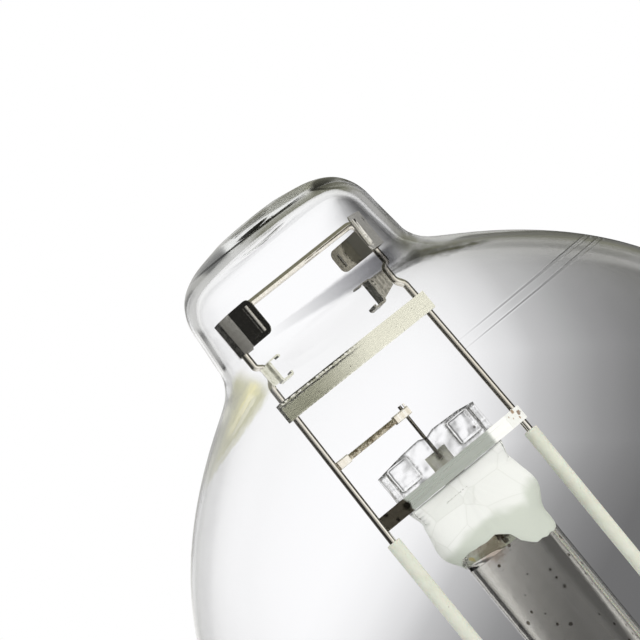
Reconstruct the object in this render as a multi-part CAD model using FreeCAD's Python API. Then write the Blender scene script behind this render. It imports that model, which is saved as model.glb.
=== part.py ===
import FreeCAD, Part
import math
import os

from FreeCAD import Vector

# A clear metal halide lamp with a bulged tubular bulb and a large screw base.
# The origin is the end face of the centre contact, and +Z runs up the lamp to the crown.
# The wire frame lies in the XZ plane, and the quartz arc tube is turned a little in its straps.
# All sizes are in millimetres.

# Base: heights from the contact's face, each stretch from the one below it
insulator_low = 2.4
shell_foot = 8.0
thread_start = 2.0
thread_length = 24.0
thread_end = 2.0
skirt_length = 9.0
seal_sink = 18.0

# Glass bulb: lengths of its stretches
seal_length = 20.0
foot_length = 29.0
neck_length = 30.0
bulge_rise = 31.0
crown_length = 26.7
dimple_depth = 1.4

# Glass bulb: outer radii
seal_radius = 16.6
neck_radius = 27.0
bulge_radius = 89.0

# Glass bulb: walls
seal_wall = 1.5
neck_wall = 1.6
bulge_wall = 1.2
waist_wall = 2.1
crown_wall = 2.5
crown_top_wall = 3.2

# Bends of the outline: how far each curve runs on along its first direction, as a share
foot_pull_share = 0.27
foot_top_share = 0.63
neck_pull_share = 0.38
bulge_pull_share = 0.46
waist_lean_share = 0.09

# Shoulder, from the bulge up to the waist: share of the way up, share of the bulge's reach
SHOULDER_CURVE = (
    (0.157, 0.987),
    (0.307, 0.930),
    (0.515, 0.779),
    (0.657, 0.610),
    (0.771, 0.423),
    (0.858, 0.243),
    (0.915, 0.106),
    (0.943, 0.048),
    (0.972, 0.015),
)

# Crown, from the waist up to the top ring: share of the crown's length, share of the waist's radius
CROWN_CURVE = (
    (0.390, 0.967),
    (0.588, 0.941),
    (0.685, 0.905),
    (0.783, 0.845),
    (0.880, 0.729),
    (0.930, 0.621),
    (0.978, 0.425),
    (1.000, 0.240),
)

# Stem: glass flare and press
flare_lip = 1.6
flare_length = 17.0
stem_length = 36.0
press_length = 15.0
press_flat = 8.0
stem_radius = 8.5
stem_wall = 1.3
press_spread = 2.0
press_thickness = 6.4

# Exhaust tube
exhaust_radius = 3.0
exhaust_wall = 1.0
exhaust_drop = 12.0

# Lead-in wires
lead_in_wire = 1.5
lead_in_outer = 0.8
lead_in_inset = 2.3
lead_in_lap = 4.5
lead_in_rise = 15.9
lead_in_gap = 6.0
lead_in_step = 3.0
lead_in_jog = 6.0
lead_in_straight = 1.0
lead_in_bend_drop = 6.0
contact_wire_rise = 5.0
weld_drop = 3.5
weld_tail = 4.0

# Strap round the stem
stem_strap_height = 6.0
stem_strap_drop = 9.0
stem_strap_sheet = 0.4

# Frame: one bent wire
frame_wire = 2.0
leg_tail = 1.0
leg_clear = 27.0
leg_gap = 1.1
leg_bend_length = 42.0
leg_bend_radius = 9.0
corner_radius = 2.2
frame_spread = 1.5
flange_clear = 5.4
jog_depth = 1.6
jog_rise = 1.0
jog_length = 2.2
jog_slope = 1.7
jog_radius = 1.6
crossbar_rise = 17.9
crown_gap = 17.0

# Crown springs
spring_drop = 10.0
spring_height = 10.9
spring_sheet = 0.3
spring_room = 4.6
spring_clear = 0.2
spring_front_pad = 0.6
spring_front_knee = 9.6
spring_front_knee_drop = 1.9
spring_front_drop = 10.9
spring_back_pad = 5.6
spring_back_knee = 12.4
spring_back_knee_drop = 1.2
spring_back_drop = 5.6
spring_corner = 2.0
spring_bead = 0.85
spring_bead_inset = 2.4
spring_bead_margin = 1.4
spring_step = 2.6
spring_step_start = 2.0

# Cross strap
cross_strap_rise = 27.2
cross_strap_height = 5.5
cross_strap_sheet = 0.4
cross_strap_lip = 1.3
cross_strap_overhang = 1.6
cross_strap_hook = 2.2

# Getters
getter_rise = 8.9
getter_length = 6.0
getter_width = 3.8
getter_height = 5.2
getter_sheet = 0.6
getter_mouth = 3.0
getter_inset = 7.8
getter_strip_sheet = 0.3
getter_strip_root = 2.4
getter_near_length = 4.0
getter_near_set = 1.0
getter_near_lap = 0.4

# Arc tube: quartz body, shoulders and pinch seals
arc_tube_turn = -10.0
arc_radius = 12.8
arc_wall = 1.8
arc_half_body = 41.0
shoulder_length = 18.5
pinch_length = 17.5
pinch_half_width = 16.0
pinch_web = 3.2
pinch_rail = 5.0
pinch_rail_width = 2.0
pinch_root = 1.2
pinch_block_inner = 6.7
pinch_block_gap = 0.5
pinch_block_length = 8.4
pinch_round = 0.8
tip_step = 1.0

# Arc tube's shoulder: share of its length, then half width and half thickness as shares of the radius
SHOULDER_SECTIONS = (
    (0.000, 1.000, 1.000),
    (0.119, 1.010, 0.980),
    (0.286, 1.170, 0.880),
    (0.514, 1.255, 0.640),
    (0.768, 1.185, 0.365),
    (1.000, 1.105, 0.200),
)
CAVITY_SECTIONS = (
    (0.000, 1.000, 1.000),
    (0.249, 1.060, 0.740),
    (0.459, 0.760, 0.400),
    (0.659, 0.330, 0.170),
)

# Electrodes, foils and leads of the arc tube
electrode_wire = 1.2
electrode_inset = 2.0
electrode_seat = 0.5
coil_wire = 0.8
coil_inset = 1.5
coil_turns = 6
foil_width = 6.5
foil_sheet = 0.1
foil_lap = 1.4
foil_end_gap = 5.1
lead_wire = 1.0
lead_lap = 2.4
lead_reach = 10.1
lead_tail = 2.3
lead_offset = 0.4

# White end coats
coat_thickness = 0.15
coat_length = 17.8
coat_edge = 0.2

# Straps round the pinch seals
clamp_height = 4.2
clamp_rise = 5.9
clamp_sheet = 0.4
clamp_bend = 4.8
clamp_flange = 2.4
clamp_tail = 0.6
clamp_side_gap = 0.2

# Braided lead between the frame and the outer lead
braid_strands = 3
braid_strand = 0.72
braid_pitch = 5.2
crimp_length = 3.6
crimp_height = 2.4
crimp_sheet = 0.45

# Ceramic sleeves
sleeve_outer = 4.0
sleeve_bore = 2.2
sleeve_gap = 3.0

# Screw base
seal_clear = 0.65
thread_depth = 1.85
thread_pitch = 6.35
thread_runout = 4.0
shell_sheet = 0.5
shell_foot_inset = 2.35
shell_corner = 1.0
skirt_clear = 0.1
skirt_flare = 0.5
skirt_flare_length = 1.2
skirt_slope = 1.6
cement_rise = 1.0
cement_sink = 0.8
insulator_lip = 1.6
insulator_clear = 1.2
insulator_plug = 2.0
insulator_boss = 4.0
insulator_throat = 3.0
contact_radius = 7.0
contact_thickness = 1.2
contact_rim = 0.8
contact_corner = 1.0
contact_hole = 1.8
lead_hole = 0.5

# Clearance between parts that only touch
slip = 0.05

# Heights up the lamp
thread_low = shell_foot + thread_start
thread_high = thread_low + thread_length
skirt_low = thread_high + thread_end
skirt_high = skirt_low + skirt_length
cement_low = skirt_low + cement_rise
seal_height = skirt_high - seal_sink
seal_top = seal_height + seal_length
neck_low = seal_top + foot_length
neck_high = neck_low + neck_length
flare_height = seal_height - flare_lip
flare_top = seal_height + flare_length
stem_top = flare_top + stem_length
press_top = stem_top + press_length
exhaust_tip = seal_height - exhaust_drop
stem_strap_low = stem_top - stem_strap_drop
leg_end = stem_strap_low - leg_tail
leg_bend_low = press_top + leg_clear
leg_bend_high = leg_bend_low + leg_bend_length
lead_in_frame_top = leg_bend_low - lead_in_gap

# Heights above the middle of the arc tube, which is the light centre
pinch_start = arc_half_body + shoulder_length
pinch_end = pinch_start + pinch_length
electrode_tip = arc_half_body + electrode_inset
electrode_root = pinch_start - electrode_seat
coil_low = electrode_tip + coil_inset
foil_low = electrode_root - foil_lap
foil_high = pinch_end - foil_end_gap
lead_low = foil_high - lead_lap
lead_high = pinch_end + lead_reach
clamp_middle = pinch_start + clamp_rise
coat_high = clamp_middle - clamp_height / 2 - coat_edge
coat_low = coat_high - coat_length
sleeve_half = clamp_middle - clamp_height / 2 - sleeve_gap

# Heights from the arc tube to the crown
light_centre = leg_bend_high + pinch_end
bulge_height = light_centre + bulge_rise
clamp_centres = (light_centre + clamp_middle, light_centre - clamp_middle)
lead_in_knee = light_centre - lead_high - lead_in_rise
braid_height = light_centre + lead_high - lead_tail
cross_strap_centre = light_centre + pinch_end + cross_strap_rise
getter_centre = cross_strap_centre + getter_rise
jog_height = getter_centre + jog_rise
crossbar_height = jog_height + crossbar_rise
spring_low = crossbar_height - spring_drop
overall_length = crossbar_height + crown_gap
waist_height = overall_length - crown_length

# Radii and half spacings that follow from one another
shell_minor_radius = seal_radius + seal_clear + shell_sheet
shell_major_radius = shell_minor_radius + thread_depth
shell_foot_radius = shell_minor_radius - shell_foot_inset
skirt_radius = shell_major_radius + skirt_clear
insulator_low_radius = contact_radius + insulator_lip
press_half_width = stem_radius + press_spread
lead_in_half = stem_radius - lead_in_inset
frame_radius = frame_wire / 2
frame_half_stem = press_half_width + frame_radius + leg_gap
frame_half_tube = pinch_half_width + clamp_side_gap + clamp_sheet + clamp_flange + flange_clear
frame_half_top = frame_half_tube - frame_spread
clamp_flat = frame_half_tube - clamp_bend
waist_radius = frame_half_top + frame_radius + spring_room + waist_wall


# Outline helpers

def line(start, end):
    return Part.makeLine(Vector(*start), Vector(*end))


def bezier(points):
    curve = Part.BezierCurve()
    curve.setPoles([Vector(*point) for point in points])
    return curve.toShape()


def smooth_curve(points, start_tangent, end_tangent):
    curve = Part.BSplineCurve()
    curve.interpolate(
        Points=[Vector(*point) for point in points],
        InitialTangent=Vector(*start_tangent),
        FinalTangent=Vector(*end_tangent),
    )
    return curve.toShape()


def profile_point(radius, height):
    return (radius, 0.0, height)


def revolve(edges):
    face = Part.Face(Part.Wire(edges))
    return face.revolve(Vector(0, 0, 0), Vector(0, 0, 1), 360)


def revolve_corners(corners):
    """Turn a closed outline of (radius, height) corners about the lamp's axis."""
    points = [Vector(radius, 0, height) for radius, height in corners]
    face = Part.Face(Part.makePolygon(points + points[:1]))
    return face.revolve(Vector(0, 0, 0), Vector(0, 0, 1), 360)


def tube(outer, inner, low, high):
    return revolve_corners(((inner, low), (outer, low), (outer, high), (inner, high)))


def rod(start, end, diameter):
    axis = Vector(*end) - Vector(*start)
    return Part.makeCylinder(diameter / 2, axis.Length, Vector(*start), axis)


def box(low, high):
    size = [b - a for a, b in zip(low, high)]
    return Part.makeBox(*size, Vector(*low))


def turned(shape, angle):
    return shape.rotated(Vector(0, 0, 0), Vector(0, 0, 1), angle)


def at_base_end(shape):
    """The same shape at the other end of the arc tube."""
    return shape.mirror(Vector(0, 0, light_centre), Vector(0, 0, 1))


def plan_turned(point, angle):
    cosine = math.cos(math.radians(angle))
    sine = math.sin(math.radians(angle))
    return (point[0] * cosine - point[1] * sine, point[0] * sine + point[1] * cosine)


def rounded_path(points, radii):
    """A wire of straight runs joined by tangent arcs, with a radius for each corner between the ends."""
    corners = [Vector(*point) for point in points]
    edges = []
    start = corners[0]
    for before, corner, after, radius in zip(corners, corners[1:], corners[2:], radii):
        incoming = (corner - before).normalize()
        outgoing = (after - corner).normalize()
        half_turn = incoming.getAngle(outgoing) / 2
        reach = radius * math.tan(half_turn)
        arc_start = corner - incoming * reach
        arc_end = corner + outgoing * reach
        inward = (outgoing - incoming).normalize()
        middle = corner + inward * (radius / math.cos(half_turn) - radius)
        edges.append(Part.makeLine(start, arc_start))
        edges.append(Part.Arc(arc_start, middle, arc_end).toShape())
        start = arc_end
    edges.append(Part.makeLine(start, corners[-1]))
    return Part.Wire(edges)


def bent_wire(points, diameter, radius):
    path = rounded_path(points, [radius] * (len(points) - 2))
    start = Vector(*points[0])
    section = Part.Wire(Part.makeCircle(diameter / 2, start, Vector(*points[1]) - start))
    return path.makePipeShell([section], True, False)


def swept(path, section):
    return Part.Wire(path).makePipeShell([Part.Wire(section)], True, True)


def offset_plan(points, distance):
    """A plan line moved sideways, with mitred corners."""
    moved = []
    last = len(points) - 1
    for index, point in enumerate(points):
        here = Vector(*point, 0)
        before = here - Vector(*points[max(index - 1, 0)], 0)
        after = Vector(*points[min(index + 1, last)], 0) - here
        first = (before if index else after).normalize()
        second = (after if index < last else before).normalize()
        first_side = Vector(-first.y, first.x, 0)
        second_side = Vector(-second.y, second.x, 0)
        side = (first_side + second_side).normalize()
        moved.append(here + side * (distance / side.dot(first_side)))
    return moved


def ribbon(points, thickness, low, height):
    """A strip on edge, bent along a plan line."""
    one_side = offset_plan(points, thickness / 2)
    other_side = offset_plan(points, -thickness / 2)
    outline = one_side + other_side[::-1]
    face = Part.Face(Part.makePolygon(outline + outline[:1]))
    face.translate(Vector(0, 0, low))
    return face.extrude(Vector(0, 0, height))


def save(name, shape):
    shape.exportStep("parts/" + name + ".step")


# Glass bulb

def wall_curve(points, walls, start_tangent, end_tangent):
    """The points of an outline moved in by each point's own wall."""
    inner = []
    last = len(points) - 1
    for index, (radius, height) in enumerate(points):
        if index == 0:
            along = start_tangent
        elif index == last:
            along = end_tangent
        else:
            along = (
                points[index + 1][0] - points[index - 1][0],
                points[index + 1][1] - points[index - 1][1],
            )
        length = math.hypot(*along)
        inner.append((
            radius - walls[index] * along[1] / length,
            height + walls[index] * along[0] / length,
        ))
    return inner


def shoulder_points():
    rise = waist_height - bulge_height
    reach = bulge_radius - waist_radius
    points = [(bulge_radius, bulge_height)]
    walls = [bulge_wall]
    for up, out in SHOULDER_CURVE:
        points.append((waist_radius + reach * out, bulge_height + rise * up))
        walls.append(bulge_wall + (waist_wall - bulge_wall) * up ** 3)
    points.append((waist_radius, waist_height))
    walls.append(waist_wall)
    return points, walls


def crown_points():
    points = [(waist_radius, waist_height)]
    walls = [waist_wall]
    for up, out in CROWN_CURVE:
        points.append((waist_radius * out, waist_height + crown_length * up))
        walls.append(waist_wall + (crown_wall - waist_wall) * up + (crown_top_wall - crown_wall) * up ** 6)
    points.append((0.0, overall_length - dimple_depth))
    walls.append(crown_top_wall)
    return points, walls


def bulb_edges(points_of_shoulder, points_of_crown, seal, neck, bulge):
    """One face of the glass from the seal to the crown's middle, with the radii of its straight stretches."""
    taper = bulge_height - neck_high
    up = (0.0, 0.0, 1.0)
    at_waist = (-waist_lean_share, 0.0, 1.0)
    return [
        line(profile_point(seal, seal_height), profile_point(seal, seal_top)),
        bezier((
            profile_point(seal, seal_top),
            profile_point(seal, seal_top + foot_length * foot_pull_share),
            profile_point(neck, neck_low - foot_length * foot_top_share),
            profile_point(neck, neck_low),
        )),
        line(profile_point(neck, neck_low), profile_point(neck, neck_high)),
        bezier((
            profile_point(neck, neck_high),
            profile_point(neck, neck_high + taper * neck_pull_share),
            profile_point(bulge, bulge_height - taper * bulge_pull_share),
            profile_point(bulge, bulge_height),
        )),
        smooth_curve([profile_point(*point) for point in points_of_shoulder], up, at_waist),
        smooth_curve([profile_point(*point) for point in points_of_crown], at_waist, (-1.0, 0.0, 0.0)),
    ]


def outer_bulb():
    shoulder, shoulder_walls = shoulder_points()
    crown, crown_walls = crown_points()
    waist_tangent = (-waist_lean_share, 1.0)
    inner_shoulder = wall_curve(shoulder, shoulder_walls, (0.0, 1.0), waist_tangent)
    inner_crown = wall_curve(crown, crown_walls, waist_tangent, (-1.0, 0.0))
    inner_crown[-1] = (0.0, inner_crown[-1][1])
    outside = bulb_edges(shoulder, crown, seal_radius, neck_radius, bulge_radius)
    inside = bulb_edges(
        inner_shoulder, inner_crown,
        seal_radius - seal_wall, neck_radius - neck_wall, bulge_radius - bulge_wall,
    )
    foot = line(profile_point(seal_radius - seal_wall, seal_height), profile_point(seal_radius, seal_height))
    crown_axis = line(
        profile_point(0.0, crown[-1][1]),
        profile_point(0.0, inner_crown[-1][1]),
    )
    return revolve([foot] + outside + [crown_axis] + inside[::-1])


# Wire frame and what it carries

def frame_half_at(height):
    """Half the spacing of the frame wires, which spread a little from the crossbar to the sleeves."""
    spread_end = light_centre + sleeve_half
    share = min(max((crossbar_height - height) / (crossbar_height - spread_end), 0.0), 1.0)
    return frame_half_top + (frame_half_tube - frame_half_top) * share


def leg_points(side):
    """The frame's path from the crossbar's corner down to the stem, on one side."""
    jog_top = jog_height + jog_length / 2
    jog_bottom = jog_height - jog_length / 2
    heights_and_halves = (
        (crossbar_height, frame_half_top),
        (jog_top + jog_slope, frame_half_at(jog_top)),
        (jog_top, frame_half_at(jog_top) - jog_depth),
        (jog_bottom, frame_half_at(jog_bottom) - jog_depth),
        (jog_bottom - jog_slope, frame_half_at(jog_bottom)),
        (light_centre + sleeve_half, frame_half_tube),
        (leg_bend_high, frame_half_tube),
        (leg_bend_low, frame_half_stem),
        (leg_end, frame_half_stem),
    )
    return [(side * half, 0.0, height) for height, half in heights_and_halves]


def frame_loop():
    left = leg_points(-1)
    right = leg_points(1)
    radii = [corner_radius] + [jog_radius] * 4 + [corner_radius] + [leg_bend_radius] * 2
    path = rounded_path(left[::-1] + right, radii[::-1] + radii)
    start = Vector(*left[-1])
    section = Part.Wire(Part.makeCircle(frame_radius, start, Vector(0, 0, 1)))
    return path.makePipeShell([section], True, False)


def crown_bore(height):
    """The bulb's inner radius at a height in the crown."""
    share = max((height - waist_height) / crown_length, 0.0)
    outline = ((0.0, 1.0),) + CROWN_CURVE
    for (low, wide), (high, narrow) in zip(outline, outline[1:]):
        if share <= high:
            break
    return waist_radius * (wide + (narrow - wide) * (share - low) / (high - low)) - crown_wall


def spring_plan():
    """A right-hand spring in plan, from the front tip over the pad on the wire to the back tip."""
    pad = frame_half_at(spring_low - jog_slope) + frame_radius + spring_sheet / 2 + slip
    tip_radius = crown_bore(spring_low + spring_height) - spring_clear
    front = pad - spring_front_drop
    back = pad - spring_back_drop
    return (
        (front, -math.sqrt(tip_radius ** 2 - front ** 2)),
        (pad - spring_front_knee_drop, -spring_front_knee),
        (pad, -spring_front_pad),
        (pad, spring_back_pad),
        (pad - spring_back_knee_drop, spring_back_knee),
        (back, math.sqrt(tip_radius ** 2 - back ** 2)),
    )


def crown_spring(step):
    """A leaf on the outer side of a frame wire, bent in facets, with its back arm lower by a step."""
    plan = spring_plan()
    leaf = ribbon(plan, spring_sheet, spring_low, spring_height)
    if step > 0:
        cut_from = Vector(0, spring_step_start, spring_low + spring_height - step)
        leaf = leaf.cut(Part.makeBox(2 * plan[2][0], 2 * plan[5][1], spring_height, cut_from))
    corners = [edge for edge in leaf.Edges if is_spring_corner(edge, plan)]
    leaf = leaf.makeFillet(spring_corner, corners)
    arms = ((plan[1], plan[0], spring_height), (plan[4], plan[5], spring_height - step))
    for knee, tip, height in arms:
        bead, groove = spring_press(knee, tip, height)
        leaf = leaf.fuse(bead).cut(groove)
    return leaf.removeSplitter()


def is_spring_corner(edge, plan):
    middle = edge.CenterOfMass
    at_tip = min(abs(middle.y - plan[0][1]), abs(middle.y - plan[5][1])) < spring_sheet
    return at_tip and abs(edge.Length - spring_sheet) < spring_sheet / 2


def spring_press(knee, tip, height):
    """A spring's pressed bead: what it adds on the outer face, and its groove on the inner face."""
    along = Vector(tip[0] - knee[0], tip[1] - knee[1], 0).normalize()
    outward = Vector(abs(along.y), math.copysign(along.x, tip[1]), 0)
    foot = Vector(*tip, spring_low + spring_bead_margin) - along * spring_bead_inset
    length = height - 2 * spring_bead_margin
    bead = Part.makeCylinder(spring_bead, length, foot)
    behind = Part.makeBox(4 * spring_bead, 4 * spring_bead, 2 * length)
    behind.translate(Vector(-4 * spring_bead, -2 * spring_bead, -length / 2))
    behind.rotate(Vector(0, 0, 0), Vector(0, 0, 1), math.degrees(math.atan2(outward.y, outward.x)))
    behind.translate(foot)
    groove_foot = foot + Vector(0, 0, spring_sheet)
    groove = Part.makeCylinder(spring_bead - spring_sheet, length - 2 * spring_sheet, groove_foot)
    return bead.cut(behind), groove


def cross_strap():
    """A strip across the frame with a folded top lip, hooked round both wires."""
    low = cross_strap_centre - cross_strap_height / 2
    half = frame_half_at(low) + frame_radius
    front = -(frame_radius + slip + cross_strap_sheet / 2)
    reach = half + cross_strap_overhang - frame_radius
    back = -front
    hook_end = half - cross_strap_hook
    plan = (
        (-hook_end, back), (-reach, back), (-reach, front),
        (reach, front), (reach, back), (hook_end, back),
    )
    strap = ribbon(plan, cross_strap_sheet, low, cross_strap_height)
    lip_low = low + cross_strap_height - cross_strap_lip
    lip_front = front - cross_strap_sheet / 2
    lip = box((-reach, lip_front - cross_strap_sheet, lip_low), (0.0, lip_front, low + cross_strap_height))
    return strap.fuse(lip).removeSplitter()


def getter(length):
    """A short channel of sheet that lies along Y, its back on the YZ plane and its mouth towards -X."""
    half = getter_height / 2
    solid = box((-getter_width, 0.0, -half), (0.0, length, half))
    long_edges = [edge for edge in solid.Edges if abs(edge.Length - length) < slip]
    solid = solid.makeFillet(getter_sheet * 1.4, long_edges)
    hollow = box(
        (getter_sheet - getter_width, 0.0, getter_sheet - half),
        (-getter_sheet, length, half - getter_sheet),
    )
    mouth = box((-2 * getter_width, 0.0, -getter_mouth / 2), (-getter_width / 2, length, getter_mouth / 2))
    return solid.cut([hollow, mouth]).translated(Vector(0, 0, getter_centre))


def getter_right():
    back = frame_half_at(getter_centre) - getter_inset
    return getter(getter_length).translated(Vector(back, -getter_length / 2, 0))


def getter_left():
    """The getter close to its wire."""
    back = getter_near_back()
    near = getter(getter_near_length).mirror(Vector(0, 0, 0), Vector(1, 0, 0))
    return near.translated(Vector(back, getter_near_set - getter_near_length, 0))


def getter_near_back():
    """Where the left getter's back stands, just inside the wire's jog."""
    return -(frame_half_at(jog_height) - jog_depth - frame_radius - slip)


def getter_strip_right():
    """A tapered strip from the frame wire to the getter's back."""
    wire_side = frame_half_at(jog_height) - jog_depth - frame_radius - slip
    getter_side = frame_half_at(getter_centre) - getter_inset + slip
    half = getter_height / 2 - getter_sheet
    outline = (
        (wire_side, 0.0, getter_centre + half),
        (getter_side, 0.0, getter_centre + half),
        (getter_side, 0.0, getter_centre - half),
        (wire_side, 0.0, getter_centre + half - getter_strip_root),
    )
    face = Part.Face(Part.makePolygon([Vector(*point) for point in outline + outline[:1]]))
    face.translate(Vector(0, -getter_strip_sheet / 2, 0))
    return face.extrude(Vector(0, getter_strip_sheet, 0))


def getter_strip_left():
    """A plate across the front of the wire's jog, up to the getter's back."""
    inner = getter_near_back() - slip
    outer = inner - frame_wire - getter_near_lap
    front = -(frame_radius + slip + getter_strip_sheet)
    half = getter_height / 2 - getter_sheet
    return box(
        (outer, front, getter_centre - half),
        (inner, front + getter_strip_sheet, getter_centre + half),
    )


def sleeve(side):
    shape = tube(sleeve_outer / 2, sleeve_bore / 2, light_centre - sleeve_half, light_centre + sleeve_half)
    rims = [edge for edge in shape.Edges if abs(edge.Length - math.pi * sleeve_outer) < slip]
    shape = shape.makeFillet(sleeve_outer / 12, rims)
    return shape.translated(Vector(side * frame_half_tube, 0, 0))


# Arc tube

def oval(height, half_width, half_thickness):
    centre = Vector(0, 0, light_centre + height)
    if half_width - half_thickness < slip:
        return Part.Wire(Part.makeCircle(half_width, centre, Vector(0, 0, 1)))
    ellipse = Part.Ellipse(centre + Vector(half_width, 0, 0), centre + Vector(0, half_thickness, 0), centre)
    return Part.Wire(ellipse.toShape())


def shoulder_loft(sections, radius, grow):
    wires = []
    for share, wide, thick in sections:
        height = arc_half_body + shoulder_length * share
        wires.append(oval(height, radius * wide + grow, radius * thick + grow))
    return Part.makeLoft(wires, True, False)


def arc_body(radius):
    return Part.makeCylinder(radius, 2 * arc_half_body, Vector(0, 0, light_centre - arc_half_body))


def foot_sides(grow):
    """What comes off the pinch's two sides below its strap, where it narrows to the shoulder."""
    start = light_centre + pinch_start
    low = start - pinch_root
    high = light_centre + clamp_middle
    narrow = SHOULDER_SECTIONS[-1][1] * arc_radius + grow
    wide = pinch_half_width + grow
    beyond = wide + pinch_rail_width
    outline = ((narrow, low), (narrow, start), (wide, high), (beyond, high), (beyond, low), (narrow, low))
    corners = [Vector(x, -pinch_rail, z) for x, z in outline]
    right = Part.Face(Part.makePolygon(corners)).extrude(Vector(0, 2 * pinch_rail, 0))
    return [right, right.mirror(Vector(0, 0, 0), Vector(1, 0, 0))]


def pinch():
    """The pressed seal: a thin web with two side rails and two thick blocks, and an uneven top edge."""
    low = light_centre + pinch_start - pinch_root
    high = light_centre + pinch_end
    half = pinch_half_width
    rail = pinch_rail / 2
    web = pinch_web / 2
    rail_inner = half - pinch_rail_width
    block_outer = rail_inner - pinch_block_gap
    top = (
        (-half, high - tip_step * 1.4),
        (-half * 0.45, high - tip_step * 0.3),
        (-half * 0.1, high),
        (lead_offset, high - tip_step * 0.9),
        (half * 0.2, high),
        (half * 0.7, high - tip_step * 0.4),
        (half, high - tip_step * 1.2),
    )
    outline = [Vector(-half, -web, low)] + [Vector(x, -web, z) for x, z in top] + [Vector(half, -web, low)]
    shape = Part.Face(Part.makePolygon(outline + outline[:1])).extrude(Vector(0, 2 * web, 0))
    for side in (1, -1):
        left = min(side * rail_inner, side * half)
        rail_box = box((left, -rail, low), (left + pinch_rail_width, rail, high - tip_step * 1.6))
        upright = [edge for edge in rail_box.Edges if edge.Length > pinch_rail * 2]
        shape = shape.fuse(rail_box.makeFillet(pinch_round, upright))
        left = min(side * pinch_block_inner, side * block_outer)
        block = box(
            (left, -rail, high - pinch_block_length),
            (left + block_outer - pinch_block_inner, rail, high - tip_step * 1.1),
        )
        shape = shape.fuse(block.makeFillet(pinch_round, block.Edges))
    return shape.cut(foot_sides(0.0))


def arc_tube(cutters):
    outside = arc_body(arc_radius)
    inside = arc_body(arc_radius - arc_wall)
    shoulder = shoulder_loft(SHOULDER_SECTIONS, arc_radius, 0.0).fuse(pinch())
    cavity = shoulder_loft(CAVITY_SECTIONS, arc_radius - arc_wall, 0.0)
    outside = outside.fuse([shoulder, at_base_end(shoulder)])
    inside = inside.fuse([cavity, at_base_end(cavity)])
    return outside.cut(inside).cut(cutters).removeSplitter()


def pinch_foot(grow):
    """The pinch below its strap, each face moved out by grow."""
    low = light_centre + pinch_start - pinch_root
    high = light_centre + clamp_middle
    half = pinch_half_width + grow
    rail = pinch_rail / 2 + grow
    web = pinch_web / 2 + grow
    rail_inner = pinch_half_width - pinch_rail_width - grow
    rail_middle = (half + rail_inner) / 2
    shape = box((-rail_middle, -web, low), (rail_middle, web, high))
    for left in (-half, rail_inner):
        rail_box = box((left, -rail, low), (left + half - rail_inner, rail, high))
        upright = [edge for edge in rail_box.Edges if edge.Length > 2 * rail]
        shape = shape.fuse(rail_box.makeFillet(pinch_round + grow, upright))
    return shape.cut(foot_sides(grow))


def coat():
    """A thin skin on the tube's shoulder and the foot of its pinch."""
    skin = shoulder_loft(SHOULDER_SECTIONS, arc_radius, coat_thickness).fuse(pinch_foot(coat_thickness))
    core = shoulder_loft(SHOULDER_SECTIONS, arc_radius, slip)
    low = light_centre + coat_low
    band = Part.makeCylinder(arc_radius * 2, coat_high - coat_low, Vector(0, 0, low))
    return skin.cut([core, pinch_foot(slip)]).common(band)


def electrode():
    return rod((0, 0, light_centre + electrode_tip), (0, 0, light_centre + electrode_root), electrode_wire)


def coil():
    """The winding near the electrode's tip."""
    radius = (electrode_wire + coil_wire) / 2 + slip
    height = coil_turns * coil_wire * 1.06
    helix = Part.makeHelix(coil_wire * 1.06, height, radius)
    section = Part.makeCircle(coil_wire / 2, Vector(radius, 0, 0), Vector(0, 1, 0))
    winding = swept(helix, section)
    return winding.translated(Vector(0, 0, light_centre + coil_low))


def foil():
    back = electrode_wire / 2 + foil_sheet
    half = foil_width / 2
    return box(
        (-half, electrode_wire / 2, light_centre + foil_low),
        (half, back, light_centre + foil_high),
    )


def lead():
    y = electrode_wire / 2 - lead_wire / 2
    return rod(
        (lead_offset, y, light_centre + lead_low),
        (lead_offset, y, light_centre + lead_high),
        lead_wire,
    )


# Straps round the pinch seals

def tangent_end(start, centre, distance, turn):
    """Where a line from start just passes a circle, turn being 1 for its left side and -1 for its right."""
    across = (centre[0] - start[0], centre[1] - start[1])
    reach = math.hypot(*across)
    angle = math.atan2(across[1], across[0]) + turn * math.asin(distance / reach)
    length = math.sqrt(reach ** 2 - distance ** 2) + clamp_tail
    return (start[0] + length * math.cos(angle), start[1] + length * math.sin(angle))


def clamp_front(centre):
    """The long strap, from behind one frame wire across the pinch and over the other wire."""
    front = -(pinch_rail / 2 + clamp_sheet / 2)
    left_wire = plan_turned((-frame_half_tube, 0.0), -arc_tube_turn)
    right_wire = plan_turned((frame_half_tube, 0.0), -arc_tube_turn)
    clear = frame_radius + clamp_sheet / 2 + slip
    left_end = tangent_end((-clamp_flat, front), left_wire, clear, -1)
    right_end = tangent_end((clamp_flat, front), right_wire, clear, -1)
    plan = (left_end, (-clamp_flat, front), (clamp_flat, front), right_end)
    return ribbon(plan, clamp_sheet, centre - clamp_height / 2, clamp_height)


def clamp_back(centre):
    """The short strap behind the pinch, with a flange on the long strap at each side."""
    back = pinch_rail / 2 + clamp_sheet / 2
    flange = -pinch_rail / 2 + clamp_sheet / 2
    side = pinch_half_width + clamp_side_gap + clamp_sheet / 2
    tip = side + clamp_flange
    plan = ((-tip, flange), (-side, flange), (-side, back), (side, back), (side, flange), (tip, flange))
    return ribbon(plan, clamp_sheet, centre - clamp_height / 2, clamp_height)


# Braided lead

def lead_plan():
    y = electrode_wire / 2 - lead_wire / 2
    return plan_turned((lead_offset, y), arc_tube_turn)


def braid_span():
    """The braid's two ends in plan, clear of the wire and of the lead, and the direction between them."""
    wire_x = -frame_half_at(braid_height)
    lead_x, lead_y = lead_plan()
    reach = math.hypot(lead_x - wire_x, lead_y)
    along = ((lead_x - wire_x) / reach, lead_y / reach)
    start = frame_radius + slip + crimp_length * 0.7
    end = reach - lead_wire / 2 - slip - crimp_length * 0.55
    return (wire_x, 0.0), along, start, end


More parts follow.
